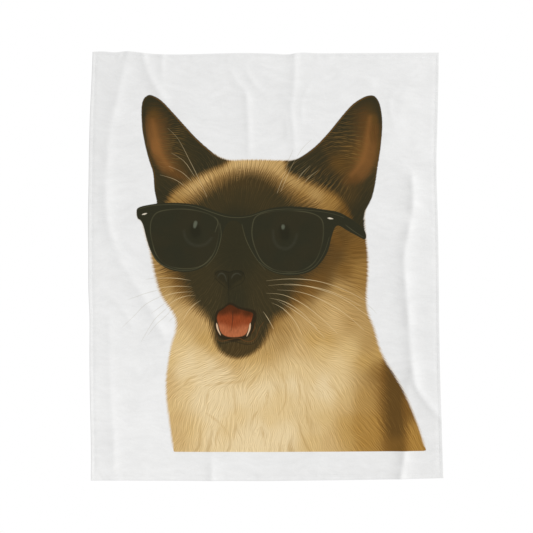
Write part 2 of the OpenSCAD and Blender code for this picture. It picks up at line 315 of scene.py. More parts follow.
def grid_quads(rows, columns, first=0, wrap=False):
    """Quads between neighbouring rows and columns of points, each row stored one after the other."""
    quads = []
    for r in range(rows - 1):
        for c in range(columns if wrap else columns - 1):
            a = first + r * columns + c
            b = first + r * columns + (c + 1) % columns
            quads.append((a, b, b + columns, a + columns))
    return quads


def slab(name, xs, zs, front, back, material):
    """A closed sheet between two depths, over the grid of flat places xs by zs."""
    x, z = np.meshgrid(xs, zs)
    x, z = x.ravel(), z.ravel()
    points = np.concatenate([place(x, z, front), place(x, z, back)])
    rows, columns, n = len(zs), len(xs), len(x)
    quads = grid_quads(rows, columns)
    quads += [(d, c, b, a) for a, b, c, d in grid_quads(rows, columns, n)]
    rim = (
        list(range(columns))
        + [r * columns + columns - 1 for r in range(1, rows)]
        + [(rows - 1) * columns + c for c in range(columns - 2, -1, -1)]
        + [r * columns for r in range(rows - 2, 0, -1)]
    )
    quads += [(b, a, a + n, b + n) for a, b in zip(rim, rim[1:] + rim[:1])]
    return make(name, points, quads, material)


def grid_lines(low, high, step, fine):
    """Grid lines from low to high: close together at the hem and step apart between."""
    ends = np.array(fine) * MM
    inner_low, inner_high = low + ends[-1], high - ends[-1]
    count = round((inner_high - inner_low) / step)
    inner = np.linspace(inner_low, inner_high, count + 1)
    return np.concatenate([low + ends[:-1], inner, (high - ends[:-1])[::-1]])


# Grid of the flat cloth: lines at these insets from each edge in millimetres, and even steps between
FINE_INSETS = [3, 6.5, 10, 13.2, 16.4, 20, 26]
STEP = 6.3 * MM
XS = grid_lines(-HALF_W, HALF_W, STEP, FINE_INSETS)
ZS = grid_lines(-HEIGHT, 0.0, STEP, FINE_INSETS)

# --------------------------------------------------------------------------------------------------
# Outlines of the printed zones, from the CAD


# Points of a zone this close to its front are on the face
FRONT_WITHIN = 0.05 * MM


def outlines(node):
    """The closed outlines of a printed zone on the face, each an array of flat points (x, z)."""
    mesh = NODES[node].data
    mesh.calc_loop_triangles()
    places = np.empty(len(mesh.vertices) * 3)
    mesh.vertices.foreach_get("co", places)
    places = places.reshape(-1, 3)
    triangles = np.empty(len(mesh.loop_triangles) * 3, int)
    mesh.loop_triangles.foreach_get("vertices", triangles)
    triangles = triangles.reshape(-1, 3)
    on_face = np.abs(places[:, 1] - places[:, 1].min()) < FRONT_WITHIN
    keys = np.round(places[:, [0, 2]] / MM, 3)
    spots, index = np.unique(keys, axis=0, return_inverse=True)
    triangles = index.reshape(-1)[triangles[on_face[triangles].all(axis=1)]]
    edges = np.concatenate([triangles[:, [0, 1]], triangles[:, [1, 2]], triangles[:, [2, 0]]])
    directed = {(int(a), int(b)) for a, b in edges}
    following = {}
    for a, b in directed:
        if (b, a) not in directed:
            following.setdefault(a, []).append(b)
    loops = []
    while following:
        start = min(following)
        loop, here = [], start
        while here in following:
            loop.append(here)
            steps = following[here]
            there = steps.pop()
            if not steps:
                del following[here]
            here = there
        loops.append(spots[loop])
    return loops


def edges_of(loops):
    """Start and end points of every edge of some closed outlines."""
    starts = np.concatenate(loops)
    ends = np.concatenate([np.roll(loop, -1, axis=0) for loop in loops])
    return starts, ends


def inside(points, loops):
    """True for the points that are inside the outlines."""
    crossings = np.zeros(len(points), int)
    for start, end in zip(*edges_of(loops)):
        if start[1] != end[1]:
            spans = (start[1] > points[:, 1]) != (end[1] > points[:, 1])
            at = start[0] + (points[:, 1] - start[1]) * (end[0] - start[0]) / (end[1] - start[1])
            crossings += spans & (points[:, 0] < at)
    return crossings % 2 == 1


def distance_to_edges(points, starts, ends):
    """Distance from each point to the nearest of some edges."""
    nearest = np.full(len(points), 1e9)
    for start, end in zip(starts, ends):
        along = end - start
        reach = points - start
        t = np.clip(reach @ along / max(along @ along, 1e-9), 0, 1)
        nearest = np.minimum(nearest, np.hypot(*(reach - t[:, None] * along).T))
    return nearest


def signed_distance(points, loops):
    """Distance to some outlines in millimetres, negative inside them."""
    return np.where(inside(points, loops), -1, 1) * distance_to_edges(points, *edges_of(loops))


# The soft zones meet under the glasses and the whiskers, so they are found on a map of the whole print,
# in square cells of this many millimetres
CELL = 2.0
# Points are measured against the map in batches of this many, to save memory
BATCH = 2000
COAT, SADDLE, FACE, EARS, LININGS = range(1, 6)
SOFT_ZONES = {
    COAT: ["print_coat"],
    SADDLE: ["print_saddle"],
    FACE: ["print_mask", "print_nose", "print_mouth", "print_tongue", "print_teeth"],
    EARS: ["print_left_ear", "print_right_ear"],
    LININGS: ["print_left_ear_lining", "print_right_ear_lining"],
}


def zone_map():
    """The soft zone of each cell of a map over the cloth. Cells with none take their neighbours' zone."""
    across = np.arange(-HALF_W_MM + CELL / 2, HALF_W_MM, CELL)
    up = np.arange(-HEIGHT_MM + CELL / 2, 0, CELL)
    zones = np.zeros((len(up), len(across)), int)
    for zone, names in SOFT_ZONES.items():
        for loops in map(outlines, names):
            starts, ends = edges_of(loops)
            for row, z in enumerate(up):
                cut = (starts[:, 1] > z) != (ends[:, 1] > z)
                s, e = starts[cut], ends[cut]
                at = np.sort(s[:, 0] + (z - s[:, 1]) * (e[:, 0] - s[:, 0]) / (e[:, 1] - s[:, 1]))
                filled = np.searchsorted(at, across) % 2 == 1
                zones[row, filled] = zone
    while (zones == 0).any():
        grown = zones.copy()
        for axis, shift in ((0, 1), (0, -1), (1, 1), (1, -1)):
            neighbour = np.roll(zones, shift, axis)
            grown = np.where((grown == 0) & (neighbour > 0), neighbour, grown)
        zones = grown
    return across, up, zones


def zone_distance(points, mapped, wanted):
    """Distance in millimetres to the edge of some soft zones of the map, negative inside them."""
    across, up, zones = mapped
    held = np.isin(zones, wanted)
    side_r, side_c = np.nonzero(held[:, 1:] != held[:, :-1])
    top_r, top_c = np.nonzero(held[1:] != held[:-1])
    edge = np.concatenate([
        np.stack([across[side_c] + CELL / 2, up[side_r]], axis=1),
        np.stack([across[top_c], up[top_r] + CELL / 2], axis=1),
    ])
    nearest = np.full(len(points), 1e9)
    for first in range(0, len(points), BATCH):
        part = points[first:first + BATCH]
        gap = (part[:, None, 0] - edge[None, :, 0]) ** 2 + (part[:, None, 1] - edge[None, :, 1]) ** 2
        nearest[first:first + BATCH] = np.sqrt(gap.min(axis=1))
    column = np.clip(((points[:, 0] - across[0]) / CELL + 0.5).astype(int), 0, len(across) - 1)
    row = np.clip(((points[:, 1] - up[0]) / CELL + 0.5).astype(int), 0, len(up) - 1)
    return np.where(held[row, column], -nearest, nearest)


# --------------------------------------------------------------------------------------------------
# Colours of the print. Tones are sRGB from 0 to 255; places are flat millimetres from the top middle.

TONES = {
    "ivory": (226, 204, 161), "cream": (217, 190, 139), "straw": (209, 179, 123),
    "sand": (200, 168, 114), "honey": (187, 153, 98), "tan": (172, 138, 84),
    "amber": (188, 152, 89), "ochre": (173, 136, 76), "gold": (164, 124, 60),
    "bronze": (150, 114, 59), "walnut": (118, 85, 39),
    "umber": (95, 69, 33), "sepia": (70, 56, 32), "bistre": (59, 52, 33),
    "soot": (50, 47, 32), "rust": (140, 94, 49), "russet": (118, 80, 42), "clay": (100, 68, 34),
    "ember": (78, 42, 22), "brick": (136, 64, 33), "coral": (172, 100, 64),
    "lens": (50, 47, 33), "frame": (47, 46, 33), "haze": (68, 67, 55),
    "glint": (96, 100, 84), "brass": (112, 108, 80), "lip": (104, 67, 34),
    "bone": (218, 208, 188), "tooth": (222, 190, 156), "ink": (36, 35, 25), "hair": (232, 208, 162),
    "bark": (122, 84, 36), "wisp": (172, 166, 142), "throat": (46, 38, 25),
}
COAT_SPOTS = {
    "ivory": [(-200, -1110), (-85, -1225), (-85, -1385), (-230, -1235), (-150, -1145), (-5, -1205),
              (-215, -1165), (20, -1182), (100, -1180), (215, -1182), (222, -1218), (-140, -1258),
              (-20, -1342), (-20, -1385), (75, -1360), (-180, -1215), (-180, -1300), (-190, -1360),
              (-300, -1135), (-270, -1095)],
    "cream": [(-305, -1065), (-230, -1085), (-235, -1350), (-305, -1235), (15, -1150), (175, -1150),
              (210, -1255), (270, -1105), (120, -1118), (60, -1140), (-60, -1142), (262, -1182), (60, -1225),
              (60, -1262), (-98, -1288), (18, -1298), (182, -1338), (-140, -1342), (-285, -1185)],
    "straw": [(295, -1235), (310, -1065), (-33, -1125), (210, -1058), (-338, -1100), (-338, -1262),
              (-300, -1018), (222, -1300), (182, -1382), (-268, -1345)],
    "sand": [(-85, -390), (-20, -390), (-85, -1118), (-310, -1365), (130, -1060), (235, -1385), (-320, -1300),
             (25, -1108), (-145, -1092), (300, -1262), (-342, -1145), (-342, -1190), (-342, -1228),
             (-350, -882), (-310, -922), (252, -925), (252, -965)],
    "honey": [(-5, -400), (-270, -940), (-230, -970), (220, -895), (205, -970), (40, -410), (-120, -402),
              (-211, -451), (-253, -475), (140, -965), (290, -925)],
    "amber": [(297, -1310), (365, -1095), (420, -1065), (-95, -1100), (-44, -1092), (12, -1084),
              (-218, -1018), (-182, -1056), (180, -1020), (225, -1020), (300, -1365)],
    "tan": [(122, -465), (-166, -436), (-375, -790), (-360, -850), (-305, -885), (80, -450), (179, -508),
            (385, -1045), (-300, -495), (275, -845), (335, -880), (75, -970), (310, -950), (60, -1030),
            (4, -1064), (135, -918)],
    "ochre": [(340, -1255), (380, -1255), (365, -1225)],
    "gold": [(340, -1302), (338, -1345), (370, -1385), (405, -1305), (420, -1360), (535, -1370),
             (565, -1415)],
    "bronze": [(300, -330), (-290, -340), (-270, -400), (420, -1255), (420, -1215), (440, -1395),
               (-310, -520), (240, -530), (345, -775), (410, -1125), (355, -825), (-350, -800), (140, -505),
               (55, -970)],
    "walnut": [(270, -390), (230, -430), (360, -230), (-380, -220), (-305, -845), (165, -845), (330, -700),
               (510, -1270), (295, -775), (137, -838), (121, -878), (430, -350), (-420, -350), (428, -1145),
               (-90, -520), (20, -520), (-180, -540)],
    "umber": [(275, -665), (300, -565), (175, -815), (215, -810), (-310, -805)],
    "sepia": [(250, -722), (212, -765)],
}
DARK_SPOTS = {
    "soot": [(265, -330), (-270, -320), (-100, -590), (-85, -650), (-100, -720), (-370, -530), (370, -515),
             (-230, -380), (-410, -180), (-310, -255), (-215, -410), (130, -410), (210, -380), (365, -575),
             (355, -650), (410, -195), (275, -265), (-105, -880), (-375, -490), (240, -445)],
    "sepia": [(-85, -455), (-140, -455), (15, -460), (-95, -1060), (320, -495), (-305, -400)],
    "bistre": [(-85, -500), (-180, -515), (15, -505), (70, -525), (-345, -340), (310, -300), (-335, -345),
               (295, -345), (-392, -470), (-270, -370), (-300, -300), (385, -470), (-15, -880), (40, -845),
               (-230, -845), (-270, -810), (-135, -985), (-175, -880), (130, -790)],
    "walnut": [(472, -1415)],
    "umber": [(450, -1165), (465, -1235), (475, -1330), (345, -350), (300, -345), (270, -392)],
}
# How wide the soft edges of the ears' linings are: (x, z, millimetres)
SOFT_LINING = [(-427, -231, 7), (-423, -288, 7), (-409, -345, 8), (-387, -395, 9), (-355, -431, 11),
               (-311, -449, 12), (-279, -447, 16), (-365, -260, 30), (-362, -303, 34), (-350, -350, 34),
               (-320, -400, 28), (-402, -190, 22), (412, -231, 7), (414, -288, 8), (407, -345, 9),
               (394, -399, 10), (369, -442, 12), (333, -463, 14), (293, -459, 18), (315, -424, 28),
               (344, -392, 34), (358, -345, 36), (350, -270, 36), (360, -210, 30), (387, -180, 20)]
LINING_SPOTS = {
    "rust": [(-388, -325), (-385, -350), (352, -376)],
    "russet": [(-395, -290), (-375, -382), (-362, -405), (-398, -262), (388, -335), (380, -370),
               (375, -400), (355, -430)],
    "clay": [(-340, -430), (-315, -445), (-400, -240), (398, -300), (400, -270), (328, -450),
             (300, -455), (350, -230)],
    "umber": [(-400, -214), (402, -235)],
    "sepia": [(-402, -190), (395, -185), (410, -200)],
}
TONGUE_SPOTS = {
    "ember": [(-123, -900), (-100, -915), (-60, -925), (-150, -918)],
    "brick": [(-130, -950), (-90, -950), (-110, -960), (-60, -955), (-150, -950)],
    "coral": [(-115, -1002), (-95, -1004), (-75, -995), (-140, -1000), (-60, -985), (-155, -980)],
}
# How wide the soft edges of the dark face, and of the ears and shoulder, are: (x, z, millimetres)
SOFT_FACE = [(-277, -538, 30), (-237, -512, 34), (-182, -472, 36), (-112, -434, 30), (-38, -425, 26),
             (23, -444, 32), (72, -483, 40), (131, -530, 42), (200, -780, 46), (125, -845, 44),
             (98, -890, 30), (60, -935, 24), (22, -979, 17), (5, -1018, 14), (-22, -1054, 9),
             (-98, -1086, 8), (-166, -1050, 10), (-188, -972, 15), (-235, -908, 24),
             (-282, -830, 36), (-330, -790, 34)]
SOFT_EARS = [(-160, -398, 12), (-224, -430, 14), (-280, -462, 17), (-336, -502, 14), (85, -405, 12),
             (158, -457, 15), (230, -490, 18), (290, -536, 16), (315, -610, 12), (430, -1250, 28),
             (520, -1250, 18), (420, -1080, 20)]
# How strongly single hairs stand out on the coat, and light hairs on the dark fur: (x, z, share)
COAT_HAIRS = [(-90, -1250, 0.17), (80, -1300, 0.17), (-220, -1150, 0.2), (200, -1200, 0.17),
              (-90, -390, 0.4), (-250, -480, 0.46), (160, -490, 0.46), (-360, -850, 0.34),
              (320, -850, 0.34), (150, -930, 0.3), (330, -1050, 0.22), (400, -1250, 0.3),
              (540, -1380, 0.3), (-320, -1250, 0.24), (-300, -980, 0.26), (-90, -1110, 0.32)]
DARK_HAIRS = [(-340, -350, 0.5), (-330, -300, 0.42), (-275, -395, 0.12), (-250, -340, 0.05),
              (-410, -180, 0.03), (-390, -480, 0.06), (280, -340, 0.55), (310, -270, 0.4),
              (240, -385, 0.3), (220, -455, 0.6), (260, -480, 0.5), (390, -200, 0.08), (180, -350, 0.08),
              (-85, -470, 0.12), (-180, -500, 0.12), (60, -500, 0.12), (-85, -560, 0.06),
              (-85, -650, 0.01), (370, -560, 0.12), (-100, -1060, 0.08), (-110, -600, 0.01),
              (-110, -720, 0.01), (-110, -830, 0.02), (-200, -850, 0.05), (60, -870, 0.07),
              (460, -1300, 0.12), (350, -470, 0.1)]
# How fuzzy the outline of the cat is: (x, z, millimetres)
FUZZ = [(-440, -200, 1.5), (-400, -460, 1.6), (-250, -300, 1.6), (-90, -380, 4.5), (0, -380, 4.5),
        (200, -320, 1.6), (420, -250, 1.5), (395, -500, 2.0), (370, -640, 6.0), (376, -800, 7.5),
        (385, -950, 8.0), (440, -1100, 8.0), (500, -1200, 7.0), (560, -1350, 6.0), (-410, -720, 8.0),
        (-370, -870, 9.0), (-318, -960, 9.0), (-345, -1090, 6.5), (-353, -1240, 7.0), (-334, -1380, 7.0)]
# Which way the fur lies away from the head: (x, z, degrees from the right, turning up)
FUR_LIES = [(-280, -1125, 18), (-190, -1155, 16), (-130, -1155, 24), (-70, -1140, 55), (-40, -1184, 60),
            (-335, -1180, 35), (-320, -1305, 72), (-215, -1245, 76), (-100, -1215, 90), (-85, -1325, 90),
            (50, -1184, 102), (60, -1260, 92), (127, -1190, 96), (155, -1095, 125), (224, -1150, 145),
            (280, -1040, 166), (300, -1075, 172), (348, -1087, 142), (265, -1226, 125), (307, -1232, 115),
            (182, -1313, 112), (238, -1286, 120), (404, -1218, 135), (404, -1368, 130), (490, -1305, 112),
            (60, -1380, 92), (-420, -310, 100), (-345, -345, 0), (-350, -260, 8), (-310, -340, -20),
            (-270, -425, 120), (280, -340, 178), (330, -340, 165), (240, -350, 20), (300, -270, 175),
            (220, -430, 50), (330, -500, 60), (420, -300, 95), (370, -205, 10)]
# The face's fur lies outwards at places on rings around its middle, down to the chin and up to the brow
FACE_CENTRE = (-95, -700)
FACE_RINGS = (120, 200, 280)
RING_STEP = 20
CHIN = -1010
BROW = -520
LIE_REACH = 120


def linear(tone):
    """Linear colour of an sRGB tone from 0 to 255."""
    c = np.array(tone) / 255
    return np.where(c <= 0.04045, c / 12.92, ((c + 0.055) / 1.055) ** 2.4)


# A spot keeps its own value over this share of the reach around it
SPOT_CORE = 0.35


def blend_spots(points, spots, values, reach):
    """Values at points, blended from those at the spots within about reach of each."""
    gap = ((points[:, None] - spots[None]) ** 2).sum(axis=2)
    weight = 1 / (gap + (reach * SPOT_CORE) ** 2) ** 2 + 1e-12
    return (weight @ values) / weight.sum(axis=1, keepdims=True)


def tone_field(points, spots_by_tone, reach):
    """Linear colour at points, blended from spots of named tones."""
    spots = np.array([s for group in spots_by_tone.values() for s in group], float)
    values = np.array([linear(TONES[t]) for t, group in spots_by_tone.items() for _ in group])
    return blend_spots(points, spots, values, reach)


def fur_angle(points):
    """Angle at which the fur lies: outwards from the middle of the face, and as listed on the rest."""
    centre = np.array(FACE_CENTRE, float)
    ring = []
    for turn in range(0, 360, RING_STEP):
        for radius in FACE_RINGS:
            a = math.radians(turn)
            at = centre + radius * np.array([math.cos(a), math.sin(a)])
            if at[1] > CHIN and not (radius == FACE_RINGS[-1] and at[1] > BROW):
                ring.append((at[0], at[1], turn))
    hints = np.array(ring + [(float(x), float(z), float(a)) for x, z, a in FUR_LIES])
    doubled = np.radians(hints[:, 2]) * 2
    field = blend_spots(points, hints[:, :2], np.stack([np.cos(doubled), np.sin(doubled)], 1), LIE_REACH)
    return np.arctan2(field[:, 1], field[:, 0]) / 2


# --------------------------------------------------------------------------------------------------
# Lines of the print. The lines of a group are shared between channels, so that neighbours don't mix.
# Each group: tone, strength, softness of the edge, channels, half widths along a line, and the lines.

WHISKERS = [
    [(-263, -810), (-315, -802), (-368, -801), (-398, -804)],
    [(-259, -833), (-315, -830), (-378, -837), (-405, -848)],
    [(-256, -849), (-325, -855), (-380, -874), (-410, -895)],
    [(-246, -862), (-289, -867), (-333, -887), (-376, -929)],
    [(-228, -880), (-253, -896), (-275, -919), (-293, -951)],
    [(5, -811), (94, -804), (188, -811), (282, -839), (372, -884)],
    [(15, -828), (101, -823), (190, -838), (282, -872), (375, -935)],
    [(45, -843), (120, -849), (196, -873), (289, -925), (360, -985)],
    [(5, -855), (70, -861), (140, -893), (205, -942), (265, -998)],
    [(18, -872), (75, -886), (138, -925), (192, -982)],
    [(28, -889), (69, -910), (111, -954), (138, -1003)],
    [(-4, -919), (14, -945), (35, -983)],
    [(69, -826), (154, -829), (250, -852), (350, -900)],
    [(47, -881), (111, -917), (175, -968), (220, -1015)],
]
# Tips of the whiskers and of the longest hairs, faint over the white cloth
WHISKER_TIPS = [
    [(-394, -801), (-410, -803), (-430, -806)],
    [(-384, -844), (-433, -857), (-463, -868), (-494, -878)],
    [(-375, -867), (-429, -895), (-471, -936), (-514, -976)],
    [(-358, -890), (-383, -909), (-408, -927)],
    [(-352, -908), (-390, -942), (-412, -972), (-447, -1031)],
    [(-340, -921), (-365, -945), (-390, -966), (-423, -1007)],
    [(-328, -940), (-336, -948), (-345, -957)],
    [(374, -896), (390, -909), (408, -928)],
    [(120, -368), (135, -345), (150, -328), (172, -308)],
    [(88, -381), (98, -361), (105, -343)],
]
EAR_HAIRS = [
    [(-206, -513), (-235, -449), (-267, -386), (-309, -308), (-349, -267)],
    [(-251, -440), (-288, -386), (-336, -355)],
    [(-262, -456), (-299, -423), (-346, -402)],
    [(-288, -472), (-325, -449), (-378, -433)],
    [(47, -500), (64, -455), (78, -421), (88, -384)],
    [(60, -495), (84, -438), (103, -398), (119, -369)],
    [(120, -455), (138, -428), (168, -400)],
    [(148, -462), (166, -440), (198, -416)],
]
RIMS = [
    [(-456, -557), (-415, -545), (-363, -540), (-294, -541), (-243, -549), (-182, -569),
     (-139, -582), (-96, -586), (-53, -582), (-27, -574), (16, -561), (85, -555), (154, -559),
     (222, -567), (265, -577), (291, -586)],
    [(-423, -655), (-408, -705), (-380, -745), (-345, -764), (-300, -774), (-252, -770),
     (-215, -750), (-190, -722)],
    [(-20, -742), (10, -764), (45, -781), (92, -786), (140, -781), (178, -763), (203, -735),
     (222, -700), (236, -655)],
    [(-178, -640), (-166, -600), (-180, -582)],
    [(-160, -605), (-155, -654), (-175, -718), (-211, -762)],
    [(-80, -609), (-65, -664), (-34, -723), (5, -773)],
    [(295, -612), (325, -634), (358, -655)],
]
EYES = [
    [(-290, -633), (-284, -658), (-264, -679), (-236, -686), (-208, -678), (-189, -658)],
    [(33, -633), (37, -667), (54, -690), (85, -696), (109, -675), (119, -646)],
]
PUPILS = [
    [(-250, -622), (-247, -640)],
    [(73, -628), (76, -648)],
]
GLINTS = [
    [(-247, -603), (-251, -619)],
    [(69, -616), (69, -624)],
]
PALE = [
    [(-436, -574), (-425, -571)],
    [(235, -588), (248, -590)],
]
TEETH = [
    [(-171, -966), (-167, -984), (-158, -1003)],
    [(-50, -966), (-53, -986), (-62, -1007)],
]
LIPS = [
    [(-170, -990), (-169, -1016), (-153, -1026), (-125, -1020), (-92, -1015), (-68, -1026),
     (-44, -1026), (-28, -1010), (-18, -982), (0, -957)],
    [(-46, -1000), (-36, -984), (-32, -958)],
]
NOSTRILS = [
    [(-168, -798), (-161, -786), (-149, -785), (-140, -795), (-136, -812)],
    [(-118, -802), (-111, -790), (-96, -784), (-84, -791)],
]
DARK_LINES = [
    [(-178, -806), (-176, -786), (-165, -777), (-149, -775), (-127, -781), (-106, -775),
     (-84, -777), (-73, -786), (-71, -806), (-84, -822), (-103, -831), (-122, -843)],
    [(-177, -800), (-165, -813), (-148, -827), (-133, -842)],
    [(-129, -787), (-129, -813), (-129, -846), (-128, -872), (-130, -893)],
    [(-160, -1011), (-134, -1016), (-106, -1015), (-77, -1012)],
    [(-173, -1024), (-153, -1035), (-111, -1027), (-68, -1037), (-36, -1034), (-15, -1008),
     (2, -978)],
    [(-113, -918), (-114, -954), (-119, -990)],
]
# Curved partings between the locks of the chest
PARTINGS = [
    [(36, -1111), (74, -1170), (80, -1214), (71, -1257), (52, -1290)],
    [(-108, -1190), (-106, -1240), (-104, -1288)],
    [(-211, -1282), (-172, -1309), (-136, -1344)],
    [(-100, -1318), (-106, -1348), (-112, -1380)],
    [(14, -1200), (12, -1232), (4, -1262)],
    [(-25, -1277), (-38, -1296), (-47, -1320)],
    [(-60, -1160), (-95, -1172), (-150, -1176), (-215, -1186)],
    [(-20, -1140), (-40, -1168), (-62, -1196)],
    [(-200, -1200), (-208, -1235), (-206, -1270)],
    [(120, -1150), (128, -1200), (126, -1260)],
    [(150, -1290), (166, -1330), (172, -1385)],
    [(232, -1170), (262, -1200), (284, -1240)],
    [(-10, -1330), (-2, -1362), (2, -1400)],
    [(-290, -1180), (-270, -1160), (-240, -1148)],
    [(-160, -1335), (-172, -1368), (-176, -1400)],
]
# The brightest band of each ear's lining
GLOWS = [
    [(-404, -240), (-396, -280), (-388, -320), (-376, -355), (-358, -386), (-334, -412)],
    [(384, -228), (376, -280), (370, -335), (358, -378), (338, -410), (316, -434)],
]
LINES = {
    "glow": ("rust", 0.7, 15.0, 1, (2.0, 7.0, 4.0), GLOWS),
    "parting": ("honey", 0.5, 5.0, 2, (1.5, 4.0, 1.0), PARTINGS),
    "whisker": ("hair", 0.8, 1.0, 5, (-0.2, 0.8, 0.3), WHISKERS),
    "ear_hair": ("hair", 0.6, 1.0, 3, (0.3, 0.6, 0.0), EAR_HAIRS),
    "tip": ("wisp", 0.42, 1.4, 2, (0.9, 1.0, 0.3), WHISKER_TIPS),
    "eye": ("haze", 0.5, 8.0, 1, (2.0, 3.5, 2.0), EYES),
    "rim": ("brass", 0.5, 1.4, 2, (0.3, 0.8, 0.2), RIMS),
    "pupil": ("ink", 0.5, 9.0, 1, (18.0, 20.0, 18.0), PUPILS),
    "glint": ("glint", 0.85, 3.0, 1, (6.0, 6.5, 5.0), GLINTS),
    "lip": ("lip", 0.75, 1.6, 2, (0.6, 1.6, 0.6), LIPS),
    "nostril": ("haze", 0.75, 2.4, 1, (1.0, 2.4, 0.8), NOSTRILS),
    "dark_line": ("ink", 0.7, 2.0, 3, (0.8, 1.6, 0.5), DARK_LINES),
    "pale": ("bone", 0.95, 1.1, 1, (3.0, 3.0, 1.6), PALE),
    "tooth": ("tooth", 0.95, 1.1, 1, (2.6, 3.0, 1.4), TEETH),
}
# Lines are looked for this near to a point. Those with a half width above THICK are soft bands.
BOX = 40
THICK = 3
# Where along itself a line takes its second half width
WIDEST = 0.35
# How fast a thin line's half width falls past its ends, and further than LINE_REACH outside it
NARROWS = (0.5, 1.5)
LINE_REACH = 7.0
# Distance and half width where no line is near
NO_LINE = (90.0, -40.0)


def channels_for(lines, count):
    """A channel for each line, so that the lines of one channel stay as far apart as they can."""
    chosen = []
    for n, line in enumerate(lines):
        room = []
        for channel in range(count):
            gaps = [
                np.sqrt(((line[:, None] - lines[m][None]) ** 2).sum(axis=2)).min()
                for m in range(n) if chosen[m] == channel
            ]
            room.append(min(gaps, default=1e6))
        chosen.append(int(np.argmax(room)))
    return chosen


def line_fields(points, lines, widths):
    """Distance from the nearest line, signed by its side if it is thin, and that line's half width there."""
    nearest = np.full(len(points), 1e9)
    off, half = (np.full(len(points), value) for value in NO_LINE)
    for line in lines:
        around = (points > line.min(axis=0) - BOX) & (points < line.max(axis=0) + BOX)
        here = np.nonzero(around.all(axis=1))[0]
        gap, side, run, past, whole = along_curve(points[here], line)
        wide = np.interp(run / whole, (0, WIDEST, 1), widths)
        if max(widths) > THICK:
            side = gap
        else:
            wide = wide - NARROWS[0] * past - NARROWS[1] * np.maximum(gap - past - wide - LINE_REACH, 0)
        near = gap < nearest[here]
        nearest[here[near]] = gap[near]
        off[here[near]], half[here[near]] = side[near], wide[near]
    return off, half


# --------------------------------------------------------------------------------------------------
# Materials


